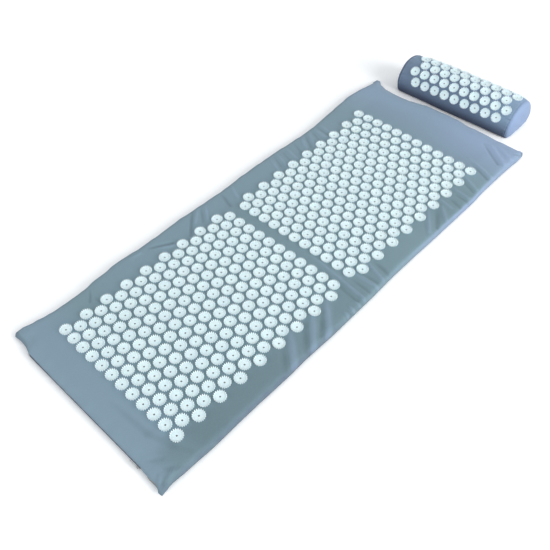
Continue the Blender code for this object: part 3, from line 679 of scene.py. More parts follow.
def cotton_finish(label, colour, faded_and_lit, deep, pitch=0.0008):
    """Plain-woven cotton with slubs, uneven tone, creases, and painted light and shade.

    The piece carries "thread", its place on the cloth; "crease", from -1 in a furrow to 1 on a ridge;
    "dye", from -1, darkest, to 1, lightest and most lavender, which holds painted light and shade as well
    as the cloth's own tone; and "depth", from 0 to 1, how much darker the cloth is, partly painted shade.
    """
    finish = Finish(label)
    thread = finish.attribute("thread", vector=True)
    crease = finish.attribute("crease")
    dye_light_and_shade = finish.attribute("dye_light_and_shade")
    weave = woven_height(finish, thread, pitch)
    stretched = finish.node(
        "ShaderNodeMapping", {"Vector": thread, "Scale": (220.0, 2600.0, 1.0)}
    ).outputs[0]
    slub = finish.noise(stretched, 1.0, 1.0)
    cloud = finish.noise(thread, 9.0, 3.0)
    fleck = finish.noise(thread, 260.0, 2.0)
    # Above 0 the cloth turns lighter and lavender; on the mat's right wall and the pillow's right end this
    # is painted light
    tone = finish.mix(finish.ramp(dye_light_and_shade, 0.0, 1.0), (*colour, 1.0), (*faded_and_lit, 1.0))
    # Below 0 it darkens towards the deep colour: painted shade on the pillow's front and left end, under
    # the mat's left foot edge and on the foot half of its right wall, and the dark tip of the mat's left
    # foot corner
    tone = finish.mix(finish.ramp(dye_light_and_shade, -1.0, 0.0, 1.0, 0.0), tone, (*deep, 1.0))
    # "depth" darkens it more: painted shade between the mat's discs, and darker patches in its right margin
    # and at its right head corner
    tone = finish.mix(finish.attribute("depth"), tone, (0.45, 0.455, 0.46, 1.0), "MULTIPLY")
    tone = finish.mix(finish.ramp(cloud, 0.3, 0.7, 0.0, 0.12), tone, (0.26, 0.34, 0.40, 1.0))
    tone = finish.mix(finish.ramp(slub, 0.35, 0.75, 0.0, 0.12), tone, (0.40, 0.50, 0.58, 1.0))
    tone = finish.mix(finish.ramp(weave, 0.0, 0.35, 0.22, 0.0), tone, shade(colour, 0.50))
    tone = finish.mix(finish.ramp(fleck, 0.62, 0.75, 0.0, 0.12), tone, shade(colour, 1.5))
    # Ridges turn lighter, partly rubbed wear and partly a painted highlight; furrows get painted shade
    rubbed = finish.ramp(crease, 0.20, 1.0, 0.0, 0.24)
    sunk = finish.ramp(crease, -1.0, -0.15, 0.42, 0.0)
    tone = finish.mix(rubbed, tone, shade(faded_and_lit, 1.15))
    tone = finish.mix(sunk, tone, shade(colour, 0.55))
    finish.plug("Base Color", tone)
    finish.plug("Roughness", finish.ramp(cloud, 0.3, 0.7, 0.80, 0.92))
    finish.plug("Sheen Weight", 0.18)
    finish.plug("Sheen Roughness", 0.45)
    finish.plug("Specular IOR Level", 0.25)
    grain = finish.math("ADD", weave, finish.math("MULTIPLY", fleck, 0.5))
    finish.bump(grain, 0.55, 0.00022)
    return finish.material


def plastic_finish(label, colour):
    """Moulded icy plastic: a soft gloss, faint flow marks, and painted light and shade on its petals and
    hole.

    The piece carries "mould": 1 at the tips for a painted highlight, below 0 down in the notches for
    painted shade, -2 at the bottom of the hole, painted near black as shade.
    """
    finish = Finish(label)
    place = finish.object_place()
    cloud = finish.noise(place, 30.0, 2.0)
    flow = finish.noise(place, 420.0, 3.0)
    tone = finish.mix(finish.ramp(cloud, 0.35, 0.65), shade(colour, 0.965), shade(colour, 1.02))
    tone = finish.mix(finish.ramp(flow, 0.5, 0.8, 0.0, 0.15), tone, shade(colour, 0.90))
    disc_light_and_shade = finish.attribute("disc_light_and_shade")
    # Painted highlight on the tips, painted shade in the notches, and the hole's floor painted near black
    # as shade
    tone = finish.mix(finish.ramp(disc_light_and_shade, 0.0, 1.0), tone, (0.97, 1.0, 1.0, 1.0))
    tone = finish.mix(finish.ramp(disc_light_and_shade, -1.0, 0.0, 1.0, 0.0), tone, shade(colour, 0.45))
    tone = finish.mix(finish.ramp(disc_light_and_shade, -2.0, -1.0, 1.0, 0.0), tone, (0.045, 0.065, 0.080, 1.0))
    finish.plug("Base Color", tone)
    finish.plug("Roughness", finish.ramp(flow, 0.3, 0.7, 0.30, 0.44))
    finish.plug("Subsurface Weight", 0.22)
    finish.plug("Subsurface Radius", (0.004, 0.005, 0.006))
    finish.plug("Subsurface Scale", 0.3)
    finish.plug("IOR", 1.49)
    finish.bump(flow, 0.15, 0.00012)
    return finish.material


def tape_finish(label, colour):
    """Herringbone zip tape."""
    finish = Finish(label)
    place = finish.object_place()
    parts = finish.node("ShaderNodeSeparateXYZ", {"Vector": place}).outputs
    slant = finish.math("ADD", parts["X"], finish.math("ABSOLUTE", parts["Z"]))
    ribs = finish.math("ABSOLUTE", finish.math("SINE", finish.math("MULTIPLY", slant, 4200.0)))
    fleck = finish.noise(place, 500.0, 2.0)
    tone = finish.mix(ribs, shade(colour, 0.65), shade(colour, 1.15))
    tone = finish.mix(finish.ramp(fleck, 0.55, 0.75, 0.0, 0.3), tone, shade(colour, 1.5))
    finish.plug("Base Color", tone)
    finish.plug("Roughness", finish.ramp(fleck, 0.3, 0.7, 0.66, 0.82))
    finish.plug("Sheen Weight", 0.15)
    finish.bump(ribs, 0.6, 0.00015)
    return finish.material


def nylon_finish(label, colour):
    """Extruded nylon of the zip's teeth."""
    finish = Finish(label)
    place = finish.object_place()
    grain = finish.noise(place, 900.0, 2.0)
    tone = finish.mix(finish.ramp(grain, 0.3, 0.7), shade(colour, 0.8), shade(colour, 1.25))
    finish.plug("Base Color", tone)
    finish.plug("Roughness", finish.ramp(grain, 0.3, 0.7, 0.30, 0.48))
    finish.bump(grain, 0.2, 0.00008)
    return finish.material


def metal_finish(label):
    """Plated zinc, rubbed along its length, with dulled patches."""
    finish = Finish(label)
    place = finish.object_place()
    stretch = {"Vector": place, "Scale": (150.0, 900.0, 1800.0)}
    brushed = finish.noise(finish.node("ShaderNodeMapping", stretch).outputs[0], 1.0, 2.0)
    patch = finish.noise(place, 220.0, 2.0)
    tone = finish.mix(finish.ramp(patch, 0.35, 0.7), (0.50, 0.50, 0.51, 1.0), (0.70, 0.70, 0.71, 1.0))
    tone = finish.mix(finish.ramp(brushed, 0.5, 0.8, 0.0, 0.4), tone, (0.36, 0.36, 0.37, 1.0))
    finish.plug("Base Color", tone)
    finish.plug("Metallic", 1.0)
    finish.plug("Roughness", finish.ramp(patch, 0.3, 0.7, 0.24, 0.42))
    finish.bump(brushed, 0.25, 0.00006)
    return finish.material


def foam_finish(label):
    """Open-cell foam."""
    finish = Finish(label)
    place = finish.object_place()
    cells = finish.node("ShaderNodeTexVoronoi", {"Vector": place, "Scale": 700.0}).outputs["Distance"]
    cloud = finish.noise(place, 14.0, 2.0)
    tone = finish.mix(finish.ramp(cloud, 0.3, 0.7), (0.70, 0.68, 0.58, 1.0), (0.80, 0.79, 0.72, 1.0))
    tone = finish.mix(finish.ramp(cells, 0.0, 0.35, 0.35, 0.0), tone, (0.45, 0.43, 0.35, 1.0))
    finish.plug("Base Color", tone)
    finish.plug("Roughness", finish.ramp(cells, 0.0, 0.6, 0.98, 0.88))
    finish.bump(cells, 0.7, 0.0004)
    return finish.material


def thread_finish(label, colour):
    """Twisted sewing thread."""
    finish = Finish(label)
    place = finish.object_place()
    parts = finish.node("ShaderNodeSeparateXYZ", {"Vector": place}).outputs
    slant = finish.math("ADD", parts["X"], finish.math("ADD", parts["Y"], parts["Z"]))
    ply = finish.math("ABSOLUTE", finish.math("SINE", finish.math("MULTIPLY", slant, 9000.0)))
    tone = finish.mix(ply, shade(colour, 0.7), shade(colour, 1.1))
    finish.plug("Base Color", tone)
    finish.plug("Roughness", finish.ramp(ply, 0.0, 1.0, 0.62, 0.50))
    finish.plug("Sheen Weight", 0.2)
    finish.bump(ply, 0.4, 0.00008)
    return finish.material


def floor_finish(label, colour):
    """A matt floor that is white to the eye and pale grey to the light it throws back."""
    finish = Finish(label)
    path = finish.node("ShaderNodeLightPath").outputs
    seen = finish.math("MAXIMUM", path["Is Camera Ray"], path["Is Glossy Ray"])
    seen = finish.math("MAXIMUM", seen, path["Is Transmission Ray"])
    tone = finish.mix(seen, (0.40, 0.40, 0.42, 1.0), shade(colour, 1.0))
    gain = finish.math("ADD", 1.0, finish.math("MULTIPLY", seen, 0.30))
    lit = finish.node("ShaderNodeVectorMath", {0: tone, "Scale": gain}, operation="SCALE").outputs[0]
    matt = finish.node("ShaderNodeBsdfDiffuse", {"Color": lit, "Roughness": 0.0}).outputs[0]
    away = finish.node("ShaderNodeVectorMath", {0: finish.object_place()}, operation="LENGTH")
    far = finish.math("MULTIPLY", seen, finish.ramp(away.outputs["Value"], 1.1, 2.4))
    glow = finish.node("ShaderNodeEmission", {"Strength": far}).outputs[0]
    both = finish.node("ShaderNodeAddShader", {0: matt, 1: glow}).outputs[0]
    output = finish.nodes["Material Output"]
    finish.links.new(both, output.inputs["Surface"])
    finish.nodes.remove(finish.shader)
    return finish.material


def finish_of(label):
    """A finish of the mat, made once."""
    made = bpy.data.materials.get(label)
    if made is None:
        scene = bpy.context.scene
        cover = scene.acumat_cover
        pillow = scene.acumat_pillow
        cotton = (tuple(cover.colour), tuple(cover.faded_and_lit), tuple(cover.deep))
        pillow_cotton = (tuple(pillow.colour), tuple(pillow.faded_and_lit), tuple(pillow.deep))
        tape = tuple(scene.acumat_zips.tape_colour)
        makers = {
            "acumat_cotton": lambda: cotton_finish(label, *cotton),
            "acumat_pillow_cotton": lambda: cotton_finish(label, *pillow_cotton),
            "acumat_disc_plastic": lambda: plastic_finish(label, tuple(scene.acumat_discs.colour)),
            "acumat_zip_tape": lambda: tape_finish(label, tape),
            "acumat_zip_nylon": lambda: nylon_finish(label, tape),
            "acumat_zip_metal": lambda: metal_finish(label),
            "acumat_foam": lambda: foam_finish(label),
            "acumat_thread": lambda: thread_finish(label, tuple(scene.acumat_zips.thread_colour)),
            "acumat_overlock": lambda: thread_finish(label, tuple(scene.acumat_zips.overlock_colour)),
            "acumat_floor": lambda: floor_finish(label, tuple(scene.acumat_stage.floor)),
        }
        made = makers[label]()
    return made


# Repeated pieces: a tree of geometry nodes that sets one shape on many places


def new_tree(label, inputs, result):
    """A tree of geometry nodes with inputs given as (name, kind, default), and what they hold."""
    tree = bpy.data.node_groups.new(label, "GeometryNodeTree")
    for name, kind, default in inputs:
        socket = tree.interface.new_socket(name, in_out="INPUT", socket_type=f"NodeSocket{kind}")
        if default is not None:
            socket.default_value = default
    tree.interface.new_socket(result, in_out="OUTPUT", socket_type="NodeSocketGeometry")
    return tree, tree.nodes.new("NodeGroupInput").outputs


def close_tree(tree, pieces, finish, result):
    """Ends a tree: its pieces made real and given their material."""
    solid = add_node(tree, "GeometryNodeRealizeInstances", {"Geometry": pieces}).outputs["Geometry"]
    painted = add_node(tree, "GeometryNodeSetMaterial", {"Geometry": solid, "Material": finish})
    add_node(tree, "NodeGroupOutput", {result: painted.outputs["Geometry"]})


def calculated(tree, operation, first, second):
    """The result of a Math node in a tree."""
    return add_node(tree, "ShaderNodeMath", {0: first, 1: second}, operation=operation).outputs[0]


def random_between(tree, low, high, seed):
    """A random number for each point, between the values of two sockets."""
    made = add_node(tree, "FunctionNodeRandomValue", {"Seed": seed}, data_type="FLOAT")
    ends = [socket for socket in made.inputs if socket.enabled and socket.name in ("Min", "Max")]
    for socket, value in zip(ends, (low, high)):
        tree.links.new(value, socket)
    return next(socket for socket in made.outputs if socket.enabled)


def direction(tree, label):
    """A direction that each point carries."""
    made = add_node(tree, "GeometryNodeInputNamedAttribute", {"Name": label}, data_type="FLOAT_VECTOR")
    return made.outputs["Attribute"]


def repeat_tree():
    """The tree that puts a shape on every point, turned to the point's own directions.

    Each point carries "out", away from the surface, and "along", the way that the shape lies.
    """
    label = "Acumat Repeat"
    if label in bpy.data.node_groups:
        return bpy.data.node_groups[label]
    inputs = (
        ("Places", "Geometry", None), ("Shape", "Object", None), ("Size", "Float", 1.0),
        ("Size Variation", "Float", 0.0), ("Turn Variation", "Float", 0.0), ("Sink", "Float", 0.0),
        ("Seed", "Int", None), ("Material", "Material", None),
    )
    tree, given = new_tree(label, inputs, "Pieces")
    out, along = direction(tree, "out"), direction(tree, "along")
    stand = add_node(tree, "FunctionNodeAlignRotationToVector", {"Vector": out}, axis="Z")
    lie = add_node(
        tree, "FunctionNodeAlignRotationToVector", {"Rotation": stand.outputs[0], "Vector": along},
        axis="X", pivot_axis="Z",
    )
    backwards = calculated(tree, "MULTIPLY", given["Turn Variation"], -1.0)
    turn_seed = calculated(tree, "ADD", given["Seed"], 0.0)
    angle = random_between(tree, backwards, given["Turn Variation"], turn_seed)
    turn = add_node(
        tree, "FunctionNodeAxisAngleToRotation", {"Axis": (0.0, 0.0, 1.0), "Angle": angle}
    ).outputs[0]
    turned = add_node(
        tree, "FunctionNodeRotateRotation", {"Rotation": lie.outputs[0], "Rotate By": turn},
        rotation_space="LOCAL",
    ).outputs[0]
    less = calculated(tree, "SUBTRACT", 1.0, given["Size Variation"])
    more = calculated(tree, "ADD", 1.0, given["Size Variation"])
    smallest = calculated(tree, "MULTIPLY", given["Size"], less)
    largest = calculated(tree, "MULTIPLY", given["Size"], more)
    size_seed = calculated(tree, "ADD", given["Seed"], 1.0)
    size = random_between(tree, smallest, largest, size_seed)
    inwards = calculated(tree, "MULTIPLY", given["Sink"], -1.0)
    sunk = add_node(tree, "ShaderNodeVectorMath", {0: out, "Scale": inwards}, operation="SCALE")
    moved = add_node(
        tree, "GeometryNodeSetPosition", {"Geometry": given["Places"], "Offset": sunk.outputs[0]}
    )
    shape = add_node(
        tree, "GeometryNodeObjectInfo", {"Object": given["Shape"], "As Instance": True},
        transform_space="ORIGINAL",
    )
    pieces = add_node(
        tree, "GeometryNodeInstanceOnPoints",
        {"Points": moved.outputs["Geometry"], "Instance": shape.outputs["Geometry"],
         "Rotation": turned, "Scale": size},
    )
    close_tree(tree, pieces.outputs["Instances"], given["Material"], "Pieces")
    return tree


def grown(holder, name, tree, inputs):
    """Runs a tree on an object, with its inputs by name, and gives the plain mesh object."""
    modifier = holder.modifiers.new(tree.name, "NODES")
    modifier.node_group = tree
    for item in tree.interface.items_tree:
        if item.in_out == "INPUT" and item.name in inputs:
            modifier[item.identifier] = inputs[item.name]
    made = baked(holder, name)
    if not made.data.vertices:
        raise RuntimeError(f"{name} came out empty")
    return made


def repeat(name, places, outs, alongs, shape, finish, **values):
    """A plain mesh object: the shape set on every place. Values are the tree's inputs by name."""
    mesh = bpy.data.meshes.new(name + "_places")
    mesh.from_pydata([tuple(place) for place in places], [], [])
    point_values(mesh, "out", outs)
    point_values(mesh, "along", alongs)
    holder = link_object(name + "_places", mesh)
    made = grown(holder, name, repeat_tree(), {"Shape": shape, "Material": finish, **values})
    for label in ("out", "along"):
        layer = made.data.attributes.get(label)
        if layer is not None:
            made.data.attributes.remove(layer)
    made.data.shade_smooth()
    made.data.set_sharp_from_angle(angle=math.radians(40))
    return made


# The mat's cover and its foam


def roll_width(height_share, power):
    """How far out the rolled edge stands at a share of its height."""
    return (1 - height_share**power) ** (1 / power)


def drawn(x, y):
    """How far the cloth is drawn in towards the mat's middle near its left foot corner."""
    share = rise(-x, 0.085, 0.235) * rise(-y, 0.430, 0.630)
    return 0.0028 * share, 0.0062 * share


def warped(x, y):
    """Swings the nominal plan out to the outline that the mat really has."""
    across, along = drawn(x, y)
    along = along * (1 - 0.85 * rise(x, -0.220, -0.180) * rise(-y, 0.590, 0.635))
    head = eased(x, HEAD_SWING) * rise(y, 0.500, 0.640)
    foot = eased(x, FOOT_SWING) * rise(-y, 0.580, 0.645)
    left = eased(y, LEFT_SWING) * rise(-x, 0.190, 0.245)
    right = eased(y, RIGHT_SWING) * rise(x, 0.200, 0.245)
    return x - left + right + across, y + head - foot + along


def perimeter(columns, rows):
    """The border of a grid, counter-clockwise from its low corner, as (column, row)."""
    low = [(column, 0) for column in range(columns)]
    right = [(columns, row) for row in range(rows)]
    high = [(column, rows) for column in range(columns, 0, -1)]
    left = [(0, row) for row in range(rows, 0, -1)]
    return low + right + high + left


def outline_points(low, high, reaches, radius, columns, rows):
    """The sewn outline, one point for each border point of the crest.

    low and high are the outline's sharp corners; reaches are (left, right, foot, head). Each point is
    (x, y, outward x, outward y, distance along the outline from the nearest corner's middle).
    """
    left, right, foot, head = reaches
    crest_low = (low[0] + left, low[1] + foot)
    crest_high = (high[0] - right, high[1] - head)
    step = ((crest_high[0] - crest_low[0]) / columns, (crest_high[1] - crest_low[1]) / rows)
    quarter = math.pi * radius / 4
    found = []
    for column, row in perimeter(columns, rows):
        on_end = row in (0, rows) and column not in (0, columns)
        x_side = -1 if column < columns / 2 else 1
        y_side = -1 if row < rows / 2 else 1
        if on_end:
            distance = min(column, columns - column) * step[0]
            reach = left if x_side < 0 else right
        else:
            distance = min(row, rows - row) * step[1]
            reach = foot if y_side < 0 else head
        along = distance + (reach - radius + quarter) * (1 - math.exp(-distance / CORNER_EASE))
        corner = (low[0] if x_side < 0 else high[0], low[1] if y_side < 0 else high[1])
        middle = (corner[0] - x_side * radius, corner[1] - y_side * radius)
        if along < quarter:
            turn = math.pi / 4 - along / radius
            out = (math.sin(turn), math.cos(turn)) if on_end else (math.cos(turn), math.sin(turn))
            out = (x_side * out[0], y_side * out[1])
            place = (middle[0] + radius * out[0], middle[1] + radius * out[1])
        elif on_end:
            out = (0.0, float(y_side))
            place = (middle[0] - x_side * (along - quarter), corner[1])
        else:
            out = (float(x_side), 0.0)
            place = (corner[0], middle[1] - y_side * (along - quarter))
        found.append((*place, *out, along))
    return np.array(found)


def ring_faces(rings, count):
    """Quads between each ring of points and the next."""
    at = np.arange(count)
    after = (at + 1) % count
    faces = []
    for first, second in zip(rings, rings[1:]):
        faces.append(np.stack([first[at], second[at], second[after], first[after]], axis=1))
    return np.concatenate(faces)


def grid_faces(index, upwards):
    """Quads of a grid of points."""
    a, b, c, d = index[:-1, :-1], index[1:, :-1], index[1:, 1:], index[:-1, 1:]
    corners = (a, b, c, d) if upwards else (a, d, c, b)
    return np.stack([corner.ravel() for corner in corners], axis=1)


def zip_share(x, y_out, taper=SLOT_TAPER):
    """1 along the zip's slot at the foot edge, 0 beyond it."""
    edge = MAT_ZIP_HALF + SLOT_END
    return fall(np.abs(x), edge, edge + taper) * (y_out < -0.99)


def pad_form(low, high, top, seam, bottom, reaches, under, radius, grid, ear=0.0, slot=False, lip=0.0):
    """A closed pad with rolled edges: its points, faces, cloth coordinates and height shares."""
    columns = max(int(round((high[0] - low[0] - reaches[0] - reaches[1]) / grid)), 4)
    rows = max(int(round((high[1] - low[1] - reaches[2] - reaches[3]) / grid)), 4)
    border = perimeter(columns, rows)
    outline = outline_points(low, high, reaches, radius, columns, rows)
    count = len(border)
    signs = [(-1 if x < 0 else 1, -1 if y < 0 else 1) for x, y in outline[:, :2]]
    reach_out, widths, neck_depths, squareness = np.array([EARS[pair] for pair in signs]).T
    corner_share = np.exp(-((outline[:, 4] / widths) ** squareness))
    neck_place, neck_width = 2.4 * widths, 1.1 * widths
    necks = neck_depths * np.exp(-(((outline[:, 4] - neck_place) / neck_width) ** 2))
    stand_out = ear * (reach_out * corner_share - necks)
    points, shares, cloths = [], [], []

    def add(block, share, cloth):
        start = sum(len(item) for item in points)
        points.append(block)
        shares.append(np.full(len(block), share))
        cloths.append(cloth)
        return np.arange(start, start + len(block))

    def flat(x0, x1, y0, y1, height):
        xs, ys = np.meshgrid(np.linspace(x0, x1, columns + 1), np.linspace(y0, y1, rows + 1), indexing="ij")
        return np.stack([xs.ravel(), ys.ravel(), np.full(xs.size, height)], axis=1)

    crest = flat(low[0] + reaches[0], high[0] - reaches[1], low[1] + reaches[2], high[1] - reaches[3], top)
    index = add(crest, 1.0, crest[:, :2]).reshape(columns + 1, rows + 1)
    faces = [grid_faces(index, True)]
    border_at = np.array([index[column, row] for column, row in border])
    inner = crest[border_at]
    open_share = zip_share(outline[:, 0], outline[:, 3]) if slot else np.zeros(count)
    half_gap = lip + (SLOT_HALF_HEIGHT - lip) * open_share
    depth = SEAM_DEPTH + (SLOT_DEPTH - SEAM_DEPTH) * open_share
    lip_back = outline[:, 2:4] * (LIP_BACK * open_share)[:, None]
    lower_back = outline[:, 2:4] * (LOWER_LIP_BACK * open_share)[:, None]
    side_power = np.where(outline[:, 2] > 0, RIGHT_POWER, LEFT_POWER)
    fuller = zip_share(outline[:, 0], outline[:, 3], 4 * SLOT_TAPER) if slot else np.zeros(count)
    power = side_power * outline[:, 2] ** 2 + (END_POWER + ZIP_POWER * fuller) * outline[:, 3] ** 2
    rings = [border_at]
    last, run = inner, np.zeros(count)

    def roll_ring(start, width, share, back, height):
        """A ring of the rolled edge between its start on the flat and the sewn outline."""
        ring = np.empty((count, 3))
        ring[:, :2] = start[:, :2] + (outline[:, :2] - start[:, :2]) * width
        ring[:, :2] += outline[:, 2:4] * (stand_out * (1 - share) ** 3)[:, None]
        ring[:, :2] -= back * (1 - share) ** 2
        ring[:, 2] = height
        return ring

    def lip_ring(back, height):
        """A ring of the folded cloth between the two lips of the seam."""
        ring = seam_ring.copy()
        ring[:, :2] -= back
        ring[:, 2] = height
        return ring

    def lay(ring, share):
        """Adds a ring to the edge, with its cloth running on from the ring before it."""
        nonlocal last, run
        run = run + np.linalg.norm(ring - last, axis=1)
        last = ring
        rings.append(add(ring, share, inner[:, :2] + outline[:, 2:4] * run[:, None]))

    for step in range(1, UPPER_RINGS + 1):
        share = math.sin(math.pi / 2 * (1 - step / UPPER_RINGS)) ** (2 / UNDER_POWER)
        width = roll_width(share, power)[:, None]
        climb = (top - seam - half_gap) * share * (1 - 0.6 * corner_share * (1 - share) * (ear > 0))
        lay(roll_ring(inner, width, share, lip_back, seam + half_gap + climb), share)
    seam_ring = last.copy()
    seam_ring[:, :2] += lip_back
    if lip:
        for side in (1, -1):
            lay(lip_ring(outline[:, 2:4] * depth[:, None], seam + side * half_gap * 0.85), 0.0)
        lay(lip_ring(lower_back, seam - half_gap), 0.0)
    base = flat(low[0] + under, high[0] - under, low[1] + under, high[1] - under, bottom)
    base_inner = base.reshape(columns + 1, rows + 1, 3)[tuple(np.array(border).T)]
    for step in range(1, LOWER_RINGS):
        share = math.sin(math.pi / 2 * step / LOWER_RINGS) ** (2 / UNDER_POWER)
        width = roll_width(share, UNDER_POWER)
        height = seam - half_gap - (seam - half_gap - bottom) * share
        lay(roll_ring(base_inner, width, share, lower_back, height), 0.0)
    under_index = add(base, -1.0, base[:, :2]).reshape(columns + 1, rows + 1)
    faces.append(grid_faces(under_index, False))
    rings.append(np.array([under_index[column, row] for column, row in border]))
    faces.append(ring_faces(rings, count))
    return tuple(np.concatenate(blocks) for blocks in (points, faces, cloths, shares))


def crease_height(x, y, strength):
    """Height of the creases at each place."""
    height = np.zeros_like(x)
    for start, end, size, half_width in CREASES:
        run = np.array(end) - np.array(start)
        length = np.linalg.norm(run)
        share = ((x - start[0]) * run[0] + (y - start[1]) * run[1]) / length**2
        near = np.clip(share, 0.0, 1.0)
        away = np.hypot(x - start[0] - near * run[0], y - start[1] - near * run[1])
        taper = 0.55 + 0.45 * smooth(near * 2.2)
        height += size * strength * taper * np.exp(-((away / (CREASE_WIDTH * half_width)) ** 2))
    return height


def edge_ripple(x, y, share):
    """Small gathers along the rolled edge, and the long soft waves of the top."""
    long_way = np.sin(y * 118 + 1.7) * 0.5 + np.sin(y * 203 + x * 40 + 0.4) * 0.35 + np.sin(y * 71) * 0.4
    short_way = np.sin(x * 131 + 0.9) * 0.5 + np.sin(x * 217 + y * 33 + 2.1) * 0.35
    on_side = rise(np.abs(x), 0.215, 0.245)
    on_end = rise(np.abs(y), 0.600, 0.630)
    on_roll = np.sin(np.pi * np.clip(share, 0, 1)) ** 0.7
    return (long_way * on_side + short_way * on_end * (1 - on_side)) * on_roll


def mat_dye_light_and_shade(x, y, shares):
    """The mat's cloth tone: lighter and lavender at the head, a little at the foot; painted light and shade
    on the right wall and under the left foot edge.
    """
    head = rise(y, 0.400, 0.600) * (0.54 + 0.36 * rise(x, -0.050, 0.150))
    right_corner = rise(x, 0.170, 0.220) * rise(y, -0.635, -0.590)
    foot = 0.27 * rise(-y, 0.490, 0.600) * (1 - right_corner)
    left = 0.12 * rise(-x, 0.150, 0.200) * fall(np.abs(y), 0.380, 0.480)
    dark_tip = np.exp(-(((x + 0.256) / 0.0080) ** 2) - ((y + 0.655) / 0.0080) ** 2)
    # Painted shadow on the lower half of the roll along the left foot edge
    painted_shadow_line = fall(shares, 0.25, 0.55) * rise(-x, 0.186, 0.196) * rise(-y, 0.632, 0.644)
    foot = foot - 1.3 * np.maximum(dark_tip, 0.5 * painted_shadow_line)
    wall = right_wall(x, y, shares)
    # Painted light and shade on the right wall: shade on its foot half, light towards the head where it is
    # lit, and lighter and darker bands along its gathers
    wall_lit_and_shaded = eased(y, WALL_LIGHT_AND_SHADE) + 0.09 * np.sin(y * 190 + 1.3) * np.sin(y * 47 + 0.4)
    return (head + foot + left) * (1 - wall) + wall_lit_and_shaded * wall


def right_wall(x, y, shares):
    """1 on the upright right side of the mat, easing to 0 over its upper edge."""
    edge = 0.2315 + 0.0015 * np.sin(y * 83) + 0.0012 * np.sin(y * 149 + 1.0)
    return rise(x, edge, edge + 0.010) * fall(shares, 0.73, 0.97)


def mat_darker_and_shade(x, y, shares):
    """How much darker the cloth is: painted shade between the discs, more darkening in the right margin and
    at the right head corner's stub.
    """
    margin = eased(y, MARGIN_DARKENING) * rise(x, 0.165, 0.205)
    # Painted shade on the cloth between the discs
    field = 0.10 * fall(np.abs(x), 0.175, 0.205) * fall(np.abs(y), 0.550, 0.600)
    stub = 0.5 * rise(x, 0.238, 0.250) * rise(y, 0.632, 0.642)
    return np.clip((margin + field) * (1 - 0.7 * right_wall(x, y, shares)) + stub, 0.0, 1.0)


def soft_waves(x, y):
    """Long, low unevenness of the foam's top."""
    return (
        np.sin(x * 17 + y * 6 + 0.6)
        + 0.8 * np.sin(y * 21 - x * 9 + 2.0)
        + 0.5 * np.sin(x * 37 + 1.1) * np.sin(y * 31 + 0.3)
    )


def cover_mat():
    """The mat's cover as one padded skin, with its seam, ears, zip slot and creases."""
    settings = bpy.context.scene.acumat_cover
    points, faces, cloths, shares = pad_form(
        (-HALF_WIDTH, -HALF_LENGTH),
        (HALF_WIDTH, HALF_LENGTH),
        top=TOP_Z,
        seam=SEAM_Z,
        bottom=0.0,
        reaches=(SIDE_REACH, SIDE_REACH, FOOT_REACH, HEAD_REACH),
        under=UNDER_REACH,
        radius=CORNER_RADIUS,
        grid=settings.grid,
        ear=settings.ear,
        slot=True,
        lip=SEAM_HALF_HEIGHT,
    )
    made = object_from("mat_cover", points, faces, 50.0)
    mesh = made.data
    x, y = points[:, 0], points[:, 1]
    upper = shares > 0
    fade = smooth(shares / 0.45) * upper
    crease = crease_height(x, y, settings.crease)
    waves = soft_waves(x, y) * 0.00022 * fade
    ripple = edge_ripple(x, y, shares) * settings.ripple * upper
    lift = crease * fade + waves + ripple
    moved = points + normals(mesh) * lift[:, None]
    moved[:, 0], moved[:, 1] = warped(moved[:, 0], moved[:, 1])
    set_coordinates(mesh, moved)
    point_values(mesh, "thread", np.column_stack([cloths, np.zeros(len(cloths))]))
    # The cotton lightens the ridges, partly as rubbed wear and partly as a painted highlight, and paints
    # shade into the furrows
    point_values(mesh, "crease", np.clip(crease / FULL_CREASE, -1, 1) * fade)
    point_values(mesh, "dye_light_and_shade", mat_dye_light_and_shade(x, y, shares))
    point_values(mesh, "depth", mat_darker_and_shade(x, y, shares))
    return dress(made, finish_of("acumat_cotton"))


def foam_slab(name, end):
    """One foam slab, inside the cover and clear of its creases, the zip and the fold."""
    side_gap, fold_gap, fold_reach = 0.0030, 0.001, 0.004
    if end < 0:
        ends = (-HALF_LENGTH + 0.010, FOLD_Y - FOLD_BAND - fold_gap)
        foot, head = FOOT_REACH - 0.002, fold_reach
    else:
        ends = (FOLD_Y + FOLD_BAND + fold_gap, HALF_LENGTH - 0.004)
        foot, head = fold_reach, HEAD_REACH
    points, faces, _, shares = pad_form(
        (-HALF_WIDTH + side_gap, ends[0]),
        (HALF_WIDTH - side_gap, ends[1]),
        top=TOP_Z - 0.0032,
        seam=SEAM_Z,
        bottom=0.0016,
        reaches=(SIDE_REACH, SIDE_REACH, foot, head),
        under=0.010,
        radius=CORNER_RADIUS,
        grid=0.012,
    )
    x, y = warped(points[:, 0], points[:, 1])
    dip = np.minimum(crease_height(x, y, 1.0), 0.0) * smooth(shares / 0.4)
    made = object_from(name, np.column_stack([x, y, points[:, 2] + dip]), faces)
    return dress(made, finish_of("acumat_foam"))


# The lotus discs


